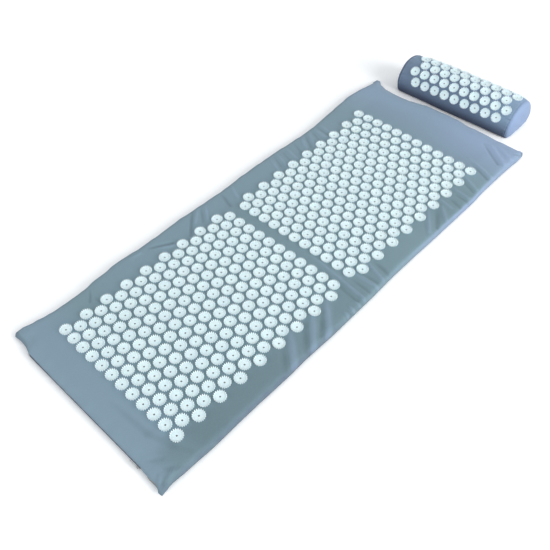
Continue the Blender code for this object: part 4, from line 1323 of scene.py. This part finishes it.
def lotus_disc():
    """One disc: a plate with a hole, a crown of pointed petals round its rim and a ring of spikes."""
    settings = bpy.context.scene.acumat_discs
    radius, count, height = settings.radius, settings.petals, settings.height
    plate, notch = PLATE_THICKNESS, radius - NOTCH_DEPTH
    points, faces, disc_light_and_shade = [], [], []

    def ring(size, level, number, turn, tone):
        start = len(points)
        for item in range(number):
            angle = 2 * math.pi * (item + turn) / number
            points.append((size * math.cos(angle), size * math.sin(angle), level))
            disc_light_and_shade.append(tone)
        return list(range(start, start + number))

    # The last number of each ring paints light and shade: 1 for a painted highlight on the tips, below 0
    # for painted shade in the notches, -2 for the hole's floor painted near black
    heel = ring(radius, 0.0, count, 0.0, 0.3)
    foot = ring(notch, 0.0, count, 0.5, -1.0)
    edge = ring(notch, plate, count, 0.5, -0.12)
    tip = ring(radius + 0.0002, height, count, 0.0, 1.0)
    rim = ring(HOLE_RADIUS, plate, 6, 0.0, 0.0)
    floor = ring(HOLE_RADIUS * 0.8, 0.0004, 6, 0.0, -2.0)
    for item in range(count):
        before = item - 1
        faces.append((foot[before], heel[item], tip[item], edge[before]))
        faces.append((heel[item], foot[item], edge[item], tip[item]))
        faces.append((edge[before], tip[item], edge[item]))
    each = count // 3
    for item in range(3):
        outer = [edge[(item * each + step) % count] for step in range(each + 1)]
        inner = [rim[(item * 2 + step) % 6] for step in (2, 1, 0)]
        faces.append((*outer, *inner))
    for item in range(6):
        after = (item + 1) % 6
        faces.append((rim[item], rim[after], floor[after], floor[item]))
    faces.append(tuple(floor))
    under = [point for item in range(count) for point in (heel[item], foot[item])]
    faces.append(tuple(reversed(under)))

    def spike(angle):
        """A three-sided point on the plate: a flat back outwards and a keel inwards."""
        start = len(points)
        keel = SPIKE_REACH - SPIKE_DEPTH
        feet = ((SPIKE_REACH, -SPIKE_HALF_WIDTH), (SPIKE_REACH, SPIKE_HALF_WIDTH), (keel, 0.0))
        for out, aside in feet:
            points.append((
                out * math.cos(angle) - aside * math.sin(angle),
                out * math.sin(angle) + aside * math.cos(angle),
                plate - 0.0001,
            ))
        out = SPIKE_REACH - SPIKE_LEAN
        points.append((out * math.cos(angle), out * math.sin(angle), height - SPIKE_DROP))
        # Spike tips get the painted highlight
        disc_light_and_shade.extend((0.0, 0.0, 0.0, 1.0))
        for one, two in ((0, 1), (1, 2), (2, 0)):
            faces.append((start + one, start + two, start + 3))
        faces.append((start + 2, start + 1, start))

    for item in range(settings.spikes):
        spike(2 * math.pi * (item + 0.5) / settings.spikes)
    made = object_from("lotus_disc", points, faces, 35.0)
    point_values(made.data, "disc_light_and_shade", disc_light_and_shade)
    return made


def spread(x, y):
    """How far the last rows at the head's left stand out of the regular grid, both ways."""
    along = np.clip((y - LAST_ROWS_START) / 0.1, 0.0, 1.0) ** 1.5
    return LAST_ROWS_SHIFT * along * fall(x, LAST_ROWS_FULL, LAST_ROWS_END)


def mat_field(end):
    """Middles of one field's discs in plan."""
    found = []
    shift = FIELD_SHIFT + (FOOT_FIELD_SHIFT if end < 0 else 0.0)
    for row in range(FIELD_ROWS):
        number = FIELD_COLUMNS if row % 2 else FIELD_COLUMNS - 1
        y = FOLD_Y + end * (FIRST_ROW + row * ROW_PITCH)
        for column in range(number):
            x = shift + (column - (number - 1) / 2) * DISC_PITCH
            across, along = drawn(x, y)
            away = float(spread(x, y))
            found.append((x + float(across) - away, y + float(along) + away))
    return found


def set_discs(name, places, outs, shape, seed_step):
    """Discs at places on the cloth, each a little turned, larger or smaller, and sunk in."""
    settings = bpy.context.scene.acumat_discs
    values = {"Turn Variation": settings.turn, "Size Variation": DISC_VARIATION, "Sink": DISC_SINK}
    return repeat(
        name, places, outs, [(1.0, 0.0, 0.0)] * len(places), shape, finish_of("acumat_disc_plastic"),
        Seed=settings.seed + seed_step, **values,
    )


def discs_on_mat(name, end, shape, surface):
    """The discs of one field, standing on the cover."""
    places, outs = [], []
    for x, y in mat_field(end):
        spot, normal, _, _ = surface.ray_cast(Vector((x, y, 0.1)), Vector((0, 0, -1)))
        if spot is None:
            raise RuntimeError(f"a disc of {name} found no cloth")
        places.append(spot)
        outs.append((normal + Vector((0, 0, 2))).normalized())
    return set_discs(name, places, outs, shape, 0)


def discs_on_pillow(name, shape, surface):
    """The discs of the pillow, standing on its barrel."""
    places, outs = [], []
    for row in range(PILLOW_ROWS):
        number = PILLOW_COLUMNS if row % 2 else PILLOW_COLUMNS - 1
        angle = math.radians(PILLOW_FIRST_ROW + PILLOW_ROW_STEP * row)
        out = Vector((0, -math.cos(angle), math.sin(angle)))
        for column in range(number):
            x = PILLOW_X + PILLOW_FIELD_SHIFT + (column - (number - 1) / 2) * DISC_PITCH
            axis = Vector((x, PILLOW_Y, PILLOW_AXIS_Z))
            spot, normal, _, _ = surface.ray_cast(axis + out * 0.1, -out)
            if spot is None:
                raise RuntimeError("a disc of the pillow found no cloth")
            places.append(spot)
            outs.append((normal + out * 2).normalized())
    return set_discs(name, places, outs, shape, 1)


# The pillow


def pillow_form(inset, stations=40, arc_steps=40, half=PILLOW_HALF, dome=END_DOME):
    """Points and faces of the pillow: a barrel cut flat underneath, with puffed ends."""
    points, loops = [], []
    flat_steps = 14
    for station in range(stations + 1):
        share = -math.cos(math.pi * station / stations)
        x = share * (half - inset)
        radius = PILLOW_RADIUS - 0.0018 * abs(share) ** 8 - inset - 0.0006 * abs(share) ** 40
        low = math.asin((inset - PILLOW_AXIS_Z) / radius)
        angles = [low + (math.pi - 2 * low) * step / arc_steps for step in range(arc_steps + 1)]
        loop = [
            (PILLOW_X + x, PILLOW_Y - radius * math.cos(a), PILLOW_AXIS_Z + radius * math.sin(a))
            for a in angles
        ]
        back, front = loop[-1], loop[0]
        for step in range(1, flat_steps):
            y = back[1] + (front[1] - back[1]) * step / flat_steps
            loop.append((back[0], y, back[2]))
        start = len(points)
        points += loop
        loops.append(list(range(start, start + len(loop))))
    faces = loop_quads(loops)
    count = len(loops[0])
    for loop, side in ((loops[0], -1), (loops[-1], 1)):
        edge = [Vector(points[item]) for item in loop]
        middle = Vector((edge[0].x, PILLOW_Y, END_MIDDLE_Z))
        rings = [loop]
        swell = dome * (RIGHT_DOME_GAIN if side > 0 else 1.0)
        for share in (0.96, 0.86, 0.7, 0.45, 0.2):
            start = len(points)
            push = side * swell * (1 - share**3) ** 0.5
            points += [tuple(middle.lerp(spot, share) + Vector((push, 0, 0))) for spot in edge]
            rings.append(list(range(start, start + count)))
        faces += loop_quads(rings, flip=side < 0)
        start = len(points)
        points.append(tuple(middle + Vector((side * swell, 0, 0))))
        for step in range(count):
            after = (step + 1) % count
            tri = (rings[-1][step], rings[-1][after], start)
            faces.append(tri if side > 0 else tri[::-1])
    return points, faces


def outward(made):
    """Merges doubles and turns all faces outwards."""
    bm = bmesh.new()
    bm.from_mesh(made.data)
    bmesh.ops.remove_doubles(bm, verts=bm.verts, dist=0.00001)
    bmesh.ops.recalc_face_normals(bm, faces=bm.faces)
    bm.to_mesh(made.data)
    bm.free()
    made.data.shade_smooth()
    return made


def inflated(made, pressure, cap):
    """Blows the cloth up for a moment and keeps how far each point moved, up to a limit."""
    start = coordinates(made.data)
    cloth = made.modifiers.new("Cloth", "CLOTH")
    cloth.settings.use_pressure = True
    cloth.settings.uniform_pressure_force = pressure
    cloth.settings.effector_weights.gravity = 0.0
    cloth.settings.quality = 6
    cloth.settings.tension_stiffness = 15
    cloth.settings.bending_stiffness = 0.5
    cloth.collision_settings.use_collision = False
    scene = bpy.context.scene
    for step in range(1, BLOW_STEPS + 1):
        scene.frame_set(step)
    seen = made.evaluated_get(bpy.context.evaluated_depsgraph_get())
    end = coordinates(seen.data)
    made.modifiers.clear()
    scene.frame_set(1)
    moved = end - start
    far = np.linalg.norm(moved, axis=1)
    moved *= np.minimum(1.0, cap / np.maximum(far, 1e-9))[:, None]
    out = normals(made.data)
    swell = (moved * out).sum(axis=1)
    moved += out * (np.maximum(swell, LEAST_RISE) - swell)[:, None]
    moved *= (0.45 + 0.55 * rise(start[:, 2], 0.010, 0.030))[:, None]
    set_coordinates(made.data, start + moved)
    mean, most = far.mean() * 1000, far.max() * 1000
    print(f"pillow cover: {len(start)} points, moved {mean:.2f} mm, most {most:.2f}")


def pillow_edge(x, y, z):
    """The end nearest to a place, the distance from its seam, and the angle and radius round the axis."""
    side = np.sign(x - PILLOW_X)
    from_end = PILLOW_HALF + 0.002 - np.abs(x - PILLOW_X)
    angle = np.arctan2(z - PILLOW_AXIS_Z, PILLOW_Y - y)
    radius = np.hypot(y - PILLOW_Y, z - PILLOW_AXIS_Z)
    return side, from_end, angle, radius


def cover_pillow():
    """The pillow's cover: inflated cloth with sewn ends, a flat base and a slot for the zip."""
    settings = bpy.context.scene.acumat_pillow
    points, faces = pillow_form(settings.shrink, half=PILLOW_HALF + 0.0025)
    holder = outward(object_from("pillow_start", points, faces))
    remesh = holder.modifiers.new("Remesh", "REMESH")
    remesh.mode = "VOXEL"
    remesh.voxel_size = settings.voxel
    holder = baked(holder, "pillow_cloth")
    inflated(holder, settings.pressure, settings.cap)
    rounding = holder.modifiers.new("Smooth", "SMOOTH")
    rounding.factor = 0.5
    rounding.iterations = 2
    finer = holder.modifiers.new("Subdivision", "SUBSURF")
    finer.levels = finer.render_levels = 1
    holder = baked(holder, "pillow_cover_solid")
    mesh = holder.data
    spots, out = coordinates(mesh), normals(mesh)
    _, from_end, angle, radius = pillow_edge(*spots.T)
    at_rim = rise(radius, 0.045, 0.055) * rise(spots[:, 2], 0.002, 0.008)
    groove = -0.0010 * np.exp(-((from_end - 0.002) / 0.0024) ** 2) * at_rim
    gather = np.sin(angle * 34) * 0.5 + np.sin(angle * 55 + 1.3) * 0.4 + np.sin(angle * 21 + 0.5) * 0.5
    pucker = gather * 0.00075 * np.exp(-((from_end - 0.009) / 0.009) ** 2) * at_rim
    wave = np.sin(spots[:, 0] * 31 + angle * 3) * np.sin(angle * 4.2 + 0.7) * 0.0006
    spots = spots + out * (groove + pucker + wave)[:, None]
    spots[:, 2] = np.maximum(spots[:, 2] - 0.0019 * fall(spots[:, 2], 0.002, 0.014), 0.0)
    set_coordinates(mesh, spots)
    slot = slot_cutter()
    cut = holder.modifiers.new("Slot", "BOOLEAN")
    cut.operation = "DIFFERENCE"
    cut.object = slot
    cut.solver = "EXACT"
    made = baked(holder, "pillow_cover")
    bpy.data.objects.remove(slot, do_unlink=True)
    mesh = made.data
    spots = coordinates(mesh)
    side, from_end, angle, radius = pillow_edge(*spots.T)
    on_end = from_end < 0.0005
    on_base = (spots[:, 2] < 0.002) & ~on_end
    cloth = np.column_stack([spots[:, 0], angle * PILLOW_RADIUS, np.zeros(len(spots))])
    cloth[on_end, :2] = spots[on_end][:, 1:3]
    cloth[on_base, :2] = spots[on_base][:, 0:2]
    point_values(mesh, "thread", cloth)
    # Painted shade in the groove just inside each end seam
    point_values(mesh, "crease", -0.6 * np.exp(-((from_end - 0.003) / 0.0016) ** 2))
    # Darker at the front, most low down, partly the cloth's deeper tone and partly painted shade where the
    # shadow falls; lighter towards the right
    up = rise(spots[:, 2], 0.004, 0.054)
    front = fall(spots[:, 1], PILLOW_Y - 0.030, PILLOW_Y + 0.010)
    dye_light_and_shade = -0.03 - front * (0.97 - 0.62 * up) + 0.42 * rise(spots[:, 0], 0.060, 0.160) * up
    # The right end panel gets painted light and the left end panel painted shade
    point_values(mesh, "dye_light_and_shade", np.where(on_end, 0.85 * np.sign(side), dye_light_and_shade))
    point_values(mesh, "depth", np.zeros(len(spots)))
    mesh.shade_smooth()
    mesh.set_sharp_from_angle(angle=math.radians(55))
    return dress(made, finish_of("acumat_pillow_cotton"))


def slot_cutter():
    """A long rounded bar that cuts the slot of the pillow's zip."""
    half = PILLOW_ZIP_HALF + SLOT_END + SLOT_TAPER / 2
    tall = SLOT_HALF_HEIGHT
    section = []
    for side in (1, -1):
        for step in range(9):
            turn = math.pi / 2 - math.pi * step / 8
            section.append((side * (half - tall + tall * math.cos(turn)), side * tall * math.sin(turn)))
    back = PILLOW_Y + PILLOW_RADIUS
    points = []
    for y in (back - SLOT_DEPTH, back + 0.010):
        points += [(PILLOW_X + x, y, PILLOW_AXIS_Z + z) for x, z in section]
    faces = tube_faces((0, len(section)), len(section))
    return outward(object_from("slot_cutter", points, faces))


def core_pillow():
    """The pillow's foam core, inside the cover and clear of the zip."""
    points, faces = pillow_form(0.0070, stations=24, arc_steps=28, half=PILLOW_HALF - 0.002, dome=0.001)
    zip_front, zip_reach = PILLOW_Y + PILLOW_RADIUS - 0.0125, 0.014
    pushed = []
    for x, y, z in points:
        behind, aside = y - zip_front, abs(z - PILLOW_AXIS_Z) / zip_reach
        if behind > 0 and aside < 1:
            y -= behind * (1 - aside) * 0.9
        pushed.append((x, y, z))
    made = outward(object_from("pillow_core", pushed, faces))
    made.data.set_sharp_from_angle(angle=math.radians(50))
    return dress(made, finish_of("acumat_foam"))


# Zips and sewing


def tooth_shape():
    """One tooth of the coil, lying along X over its row, with its outside up."""
    length, width, deep = 0.00052, (COIL_HIGH - COIL_LOW) / 2, COIL_DEPTH / 2
    section = [
        (-width, -deep * 0.5), (-width * 0.7, -deep), (width * 0.8, -deep), (width, -deep * 0.3),
        (width, deep * 0.5), (width * 0.7, deep), (-width * 0.6, deep), (-width, deep * 0.5),
    ]
    points = [(x, y, z) for x in (-length, length) for y, z in section]
    return outward(object_from("zip_tooth", points, tube_faces((0, 8), 8)))


def chain_row(name, middle, half, outwards, side, tooth):
    """One row of teeth on its core, along X, at a zip whose outside faces outwards."""
    pitch = bpy.context.scene.acumat_zips.tooth_pitch
    number = int((2 * half - 0.0012) / pitch)
    offset = side * (COIL_LOW + COIL_HIGH) / 2
    depth = COIL_FRONT + COIL_DEPTH / 2
    out = Vector(outwards)
    places = [
        Vector((middle[0] + (item - (number - 1) / 2) * pitch, middle[1], middle[2] + offset)) - out * depth
        for item in range(number)
    ]
    row = repeat(
        name, places, [outwards] * number, [(1.0, 0.0, 0.0)] * number, tooth,
        finish_of("acumat_zip_nylon"), Seed=3,
    )
    centre = Vector((0.0, middle[1], middle[2] + side * (COIL_HIGH - 0.00055))) - out * (depth + 0.0001)
    sides, radius = 6, 0.0005
    points = []
    for x in (middle[0] - half, middle[0] + half):
        for step in range(sides):
            turn = 2 * math.pi * step / sides
            points.append((x, centre.y + radius * math.cos(turn), centre.z + radius * math.sin(turn)))
    core = outward(object_from(name + "_core", points, tube_faces((0, sides), sides)))
    return joined(row, core)


def joined(made, other):
    """Adds another object's mesh to an object, keeping its material."""
    bm = bmesh.new()
    bm.from_mesh(made.data)
    bm.from_mesh(other.data)
    bm.to_mesh(made.data)
    bm.free()
    bpy.data.objects.remove(other, do_unlink=True)
    made.data.update()
    return made


def stitch_shape():
    """One stitch: a short length of thread whose ends dive into the cloth."""
    settings = bpy.context.scene.acumat_zips
    half, thick = settings.stitch_length / 2, settings.thread
    points, sides = [], 5
    rows = (
        (-half, -thick * 0.9, 0.55), (-half * 0.55, thick * 0.5, 1.0),
        (half * 0.55, thick * 0.5, 1.0), (half, -thick * 0.9, 0.55),
    )
    for x, level, share in rows:
        for step in range(sides):
            turn = 2 * math.pi * step / sides
            points.append((x, thick * share * math.cos(turn), level + thick * share * math.sin(turn)))
    starts = [row * sides for row in range(len(rows))]
    return outward(object_from("stitch", points, tube_faces(starts, sides)))


def run_stitches(name, path, surface, shape, slant=0.0, thread="acumat_thread", size=1.0):
    """Stitches along a path of points near a surface. slant turns every other stitch, for a zigzag."""
    settings = bpy.context.scene.acumat_zips
    path = np.asarray(path)
    lengths = np.concatenate([[0.0], np.cumsum(np.linalg.norm(np.diff(path, axis=0), axis=1))])
    number = int(lengths[-1] / settings.stitch_pitch)
    at = (np.arange(number) + 0.5) * lengths[-1] / number
    spots, ahead, behind = (
        np.column_stack([np.interp(at + step, lengths, path[:, axis]) for axis in range(3)])
        for step in (0.0, 0.0005, -0.0005)
    )
    places, outs, alongs = [], [], []
    for item, spot in enumerate(spots):
        found, normal, _, _ = surface.find_nearest(Vector(spot))
        along = Vector(ahead[item] - behind[item]).normalized()
        if slant:
            along = Matrix.Rotation(slant if item % 2 else -slant, 3, normal) @ along
        places.append(found)
        outs.append(normal)
        alongs.append(along)
    return repeat(name, places, outs, alongs, shape, finish_of(thread), Seed=5, Size=size)


def welt_tree():
    """The tree that sweeps a round welt along a path of edges."""
    label = "Acumat Welt"
    if label in bpy.data.node_groups:
        return bpy.data.node_groups[label]
    inputs = (
        ("Path", "Geometry", None), ("Radius", "Float", WELT_RADIUS), ("Unevenness", "Float", 0.08),
        ("Sides", "Int", 8), ("Seed", "Int", 2), ("Material", "Material", None),
    )
    tree, given = new_tree(label, inputs, "Welt")
    path = add_node(tree, "GeometryNodeMeshToCurve", {"Mesh": given["Path"]}).outputs["Curve"]
    thinnest = calculated(tree, "SUBTRACT", 1.0, given["Unevenness"])
    thickest = calculated(tree, "ADD", 1.0, given["Unevenness"])
    uneven = random_between(tree, thinnest, thickest, given["Seed"])
    profile = add_node(
        tree, "GeometryNodeCurvePrimitiveCircle",
        {"Resolution": given["Sides"], "Radius": given["Radius"]},
    ).outputs["Curve"]
    sweep = add_node(
        tree, "GeometryNodeCurveToMesh", {"Curve": path, "Profile Curve": profile, "Scale": uneven}
    )
    close_tree(tree, sweep.outputs["Mesh"], given["Material"], "Welt")
    return tree


def welt(name, path, dye_light_and_shade):
    """A closed welt along a loop of points, in the cover's cotton."""
    mesh = bpy.data.meshes.new(name + "_path")
    count = len(path)
    mesh.from_pydata([tuple(point) for point in path], [(i, (i + 1) % count) for i in range(count)], [])
    holder = link_object(name + "_path", mesh)
    made = outward(grown(holder, name, welt_tree(), {"Material": finish_of("acumat_pillow_cotton")}))
    spots = coordinates(made.data)
    point_values(made.data, "thread", spots[:, [1, 2, 0]])
    turn = np.arctan2(spots[:, 2] - PILLOW_AXIS_Z, spots[:, 1] - PILLOW_Y)
    # Lighter stitch dashes round the welt, with painted shade between them
    point_values(made.data, "crease", np.sin(turn * 48) * 0.9)
    # One even amount for the whole welt: painted light on the right one, painted shade on the left
    point_values(made.data, "dye_light_and_shade", np.full(len(spots), dye_light_and_shade))
    point_values(made.data, "depth", np.zeros(len(spots)))
    return made


def slot_path(middle, half, outwards, side):
    """A stitch line beside a zip's slot, above or below it. outwards is 1 or -1, the way out along Y."""
    xs = np.linspace(middle[0] - half, middle[0] + half, 60)
    height = middle[2] + side * (SLOT_HALF_HEIGHT + SEAM_FROM_SLOT)
    return [(x, middle[1] + outwards * 0.002, height) for x in xs]


def end_arc(side, from_rim, inside, count, past=0.0):
    """Points round one end of the pillow, from its front base edge over the top to the back."""
    x = PILLOW_X + side * (PILLOW_HALF - from_rim)
    radius = PILLOW_RADIUS - inside
    low = math.asin((0.0022 - PILLOW_AXIS_Z) / radius) + past
    angles = np.linspace(low, math.pi - low, count)
    return [(x, PILLOW_Y - radius * math.cos(a), PILLOW_AXIS_Z + radius * math.sin(a)) for a in angles]


def end_rim(side):
    """The loop of the seam at one end of the pillow, base edge and all."""
    arc = end_arc(side, -0.0015, -0.0015, 120)
    first, last = arc[0], arc[-1]
    steps = 40
    base = [(first[0], last[1] + (first[1] - last[1]) * step / steps, first[2]) for step in range(1, steps)]
    return arc + base


def evened(loop):
    """A closed loop of points with its small waves taken out, kept just above the floor."""
    points = np.array(loop)
    passes, lowest = 14, 0.0014
    for _ in range(passes):
        points = (np.roll(points, 1, axis=0) + 2 * points + np.roll(points, -1, axis=0)) / 4
    points[:, 2] = np.maximum(points[:, 2], lowest)
    return points


# Operators


class ACUMAT_OT_mat_cover(Operator):
    """Builds the mat's padded cover"""

    bl_idname = "acumat.mat_cover"
    bl_label = "Mat Cover"

    def execute(self, context):
        made = cover_mat()
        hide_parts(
            "top_panel_foot", "top_panel_head", "top_panel_fold", "bottom_panel_foot",
            "bottom_panel_head", "bottom_panel_fold",
        )
        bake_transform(made)
        return {"FINISHED"}


class ACUMAT_OT_mat_foam(Operator):
    """Builds the two foam slabs of the mat"""

    bl_idname = "acumat.mat_foam"
    bl_label = "Mat Foam"

    def execute(self, context):
        for half, end in (("foot", -1), ("head", 1)):
            made = foam_slab(f"mat_foam_{half}", end)
            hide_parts(f"foam_{half}")
            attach(made, f"{half}_half")
        return {"FINISHED"}


class ACUMAT_OT_pillow(Operator):
    """Builds the pillow's inflated cover and its foam core"""

    bl_idname = "acumat.pillow"
    bl_label = "Pillow"

    def execute(self, context):
        cover = cover_pillow()
        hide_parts("pillow_barrel", "pillow_base", "pillow_end_left", "pillow_end_right")
        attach(cover, "pillow")
        core = core_pillow()
        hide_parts("pillow_foam")
        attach(core, "pillow")
        return {"FINISHED"}


class ACUMAT_OT_discs(Operator):
    """Sets the lotus discs on the mat and the pillow"""

    bl_idname = "acumat.discs"
    bl_label = "Lotus Discs"

    def execute(self, context):
        shape = lotus_disc()
        mat_surface = surface_of(bpy.data.objects["mat_cover"])
        pillow_surface = surface_of(bpy.data.objects["pillow_cover"])
        for half, end in (("foot", -1), ("head", 1)):
            made = discs_on_mat(f"mat_discs_{half}", end, shape, mat_surface)
            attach(made, f"{half}_half")
        made = discs_on_pillow("pillow_discs", shape, pillow_surface)
        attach(made, "pillow")
        bpy.data.objects.remove(shape, do_unlink=True)
        return {"FINISHED"}


class ACUMAT_OT_zips(Operator):
    """Builds the zips' teeth and finishes their tapes and metal"""

    bl_idname = "acumat.zips"
    bl_label = "Zips"

    def execute(self, context):
        tooth = tooth_shape()
        for prefix, middle, half, outwards, body in ZIPS:
            for row, side in (("upper", 1), ("lower", -1)):
                made = chain_row(f"{prefix}_teeth_{row}", middle, half, (0.0, outwards, 0.0), side, tooth)
                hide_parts(f"{prefix}_coil_{row}")
                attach(made, body)
                dress(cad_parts[f"{prefix}_tape_{row}"], finish_of("acumat_zip_tape"))
            for metal in ("top_stop", "bottom_stop", "slider", "pull"):
                dress(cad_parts[f"{prefix}_{metal}"], finish_of("acumat_zip_metal"))
        bpy.data.objects.remove(tooth, do_unlink=True)
        return {"FINISHED"}


class ACUMAT_OT_sewing(Operator):
    """Sews the stitches beside the zips and round the pillow's ends"""

    bl_idname = "acumat.sewing"
    bl_label = "Sewing"

    def execute(self, context):
        shape = stitch_shape()
        mat_surface = surface_of(bpy.data.objects["mat_cover"])
        pillow_surface = surface_of(bpy.data.objects["pillow_cover"])
        surfaces = {"foot_half": mat_surface, "pillow": pillow_surface}
        for prefix, middle, half, outwards, body in ZIPS:
            for row, side in (("upper", 1), ("lower", -1)):
                path = slot_path(middle, half + SEAM_PAST_ZIP, outwards, side)
                made = run_stitches(f"{prefix}_seam_{row}", path, surfaces[body], shape)
                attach(made, body)
        xs = np.linspace(OVERLOCK_START, OVERLOCK_END, 30)
        path = [(x, -HALF_LENGTH - 0.001, SEAM_Z + 0.0015) for x in xs]
        edging = run_stitches(
            "mat_zip_overlock", path, mat_surface, shape, math.radians(38), "acumat_overlock", OVERLOCK_SIZE
        )
        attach(edging, "foot_half")
        for name, side in (("left", -1), ("right", 1)):
            path = end_arc(side, END_SEAM_INSET, 0.0, 120, 0.05)
            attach(run_stitches(f"pillow_end_seam_{name}", path, pillow_surface, shape), "pillow")
            edge = [pillow_surface.find_nearest(Vector(point))[0] for point in end_rim(side)]
            # The right welt gets painted light and the left one painted shade
            rim = welt(f"pillow_end_welt_{name}", evened(edge), 0.75 * side)
            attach(rim, "pillow")
        bpy.data.objects.remove(shape, do_unlink=True)
        return {"FINISHED"}


class ACUMAT_OT_stage(Operator):
    """Sets the floor, the light and the camera"""

    bl_idname = "acumat.stage"
    bl_label = "Stage"

    def execute(self, context):
        settings = context.scene.acumat_stage
        size, level = 12.0, -0.0004
        corners = [(x * size, y * size, level) for x, y in ((-1, -1), (1, -1), (1, 1), (-1, 1))]
        floor = dress(object_from("floor", corners, [(0, 1, 2, 3)]), finish_of("acumat_floor"))
        lamp("key_light", *KEY_LIGHT, settings.key)
        lamp("top_light", *TOP_LIGHT, settings.top)
        lamp("fill_light", *FILL_LIGHT, settings.fill)
        light_sky(settings.sky)
        aim_camera()
        context.scene.view_settings.view_transform = "Standard"
        return {"FINISHED"}


def lamp(name, place, target, size, power):
    """A square soft light that points at the mat."""
    data = bpy.data.lights.new(name, "AREA")
    data.shape = "SQUARE"
    data.size = size
    data.energy = power
    made = bpy.data.objects.new(name, data)
    made.location = place
    made.rotation_euler = (Vector(target) - Vector(place)).to_track_quat("-Z", "Y").to_euler()
    bpy.context.collection.objects.link(made)
    return made


def light_sky(strength):
    """A white backdrop to the eye and a dimmer even light on the object."""
    world = bpy.data.worlds.new("acumat_sky")
    world.use_nodes = True
    bpy.context.scene.world = world
    nodes, links = world.node_tree.nodes, world.node_tree.links
    background = nodes["Background"]
    tint = nodes.new("ShaderNodeMix")
    tint.data_type = "RGBA"
    colours = [socket for socket in tint.inputs if socket.enabled and socket.name in ("A", "B")]
    for socket, colour in zip(colours, ((0.94, 0.97, 1.0, 1.0), (1.0, 1.0, 1.0, 1.0))):
        socket.default_value = colour
    links.new(next(socket for socket in tint.outputs if socket.enabled), background.inputs["Color"])
    path = nodes.new("ShaderNodeLightPath")
    seen = nodes.new("ShaderNodeMath")
    seen.operation = "MAXIMUM"
    links.new(path.outputs["Is Camera Ray"], seen.inputs[0])
    links.new(path.outputs["Is Transmission Ray"], seen.inputs[1])
    level = nodes.new("ShaderNodeMapRange")
    level.inputs["To Min"].default_value = strength
    level.inputs["To Max"].default_value = 1.0
    links.new(seen.outputs[0], level.inputs["Value"])
    links.new(seen.outputs[0], next(s for s in tint.inputs if s.enabled and s.name == "Factor"))
    links.new(level.outputs[0], background.inputs["Strength"])


def aim_camera():
    """The photograph's camera."""
    data = bpy.data.cameras.new("camera")
    data.sensor_width = 36.0
    data.lens = CAMERA_LENS
    data.shift_x = CAMERA_SHIFT
    data.clip_start = 0.01
    made = bpy.data.objects.new("camera", data)
    azimuth = Matrix.Rotation(math.radians(CAMERA_AZIMUTH), 4, "Z")
    tilt = Matrix.Rotation(math.radians(90 - CAMERA_ELEVATION), 4, "X")
    roll = Matrix.Rotation(math.radians(CAMERA_ROLL), 4, "Z")
    made.matrix_world = Matrix.Translation(CAMERA_PLACE) @ azimuth @ tilt @ roll
    bpy.context.collection.objects.link(made)
    bpy.context.scene.camera = made


# Sidebar, registration and the run

STEPS = ("mat_cover", "mat_foam", "pillow", "discs", "zips", "sewing", "stage")


class ACUMAT_PT_sidebar(Panel):
    """Lists the pieces of the mat"""

    bl_idname = "ACUMAT_PT_sidebar"
    bl_label = "Acupressure Mat"
    bl_space_type = "VIEW_3D"
    bl_region_type = "UI"
    bl_category = "Acupressure Mat"

    def draw(self, context):
        layout = self.layout
        groups = ("acumat_cover", "acumat_discs", "acumat_pillow", "acumat_zips", "acumat_stage")
        for group in groups:
            box = layout.box()
            settings = getattr(context.scene, group)
            for key in settings.bl_rna.properties.keys():
                if key not in ("rna_type", "name"):
                    box.prop(settings, key)
        for step in STEPS:
            layout.operator(f"acumat.{step}")


GROUPS = (
    ("acumat_cover", AcumatCoverSettings),
    ("acumat_discs", AcumatDiscSettings),
    ("acumat_pillow", AcumatPillowSettings),
    ("acumat_zips", AcumatZipSettings),
    ("acumat_stage", AcumatStageSettings),
)
CLASSES = (
    ACUMAT_OT_mat_cover,
    ACUMAT_OT_mat_foam,
    ACUMAT_OT_pillow,
    ACUMAT_OT_discs,
    ACUMAT_OT_zips,
    ACUMAT_OT_sewing,
    ACUMAT_OT_stage,
    ACUMAT_PT_sidebar,
)


def register():
    """Registers the settings, the operators and the panel."""
    for label, group in GROUPS:
        bpy.utils.register_class(group)
        setattr(bpy.types.Scene, label, PointerProperty(type=group))
    for item in CLASSES:
        bpy.utils.register_class(item)


def unregister():
    """Takes back what register did."""
    for item in reversed(CLASSES):
        bpy.utils.unregister_class(item)
    for label, group in reversed(GROUPS):
        delattr(bpy.types.Scene, label)
        bpy.utils.unregister_class(group)


def main():
    """Builds every piece."""
    register()
    for step in STEPS:
        getattr(bpy.ops.acumat, step)()


if __name__ == "__main__":
    main()
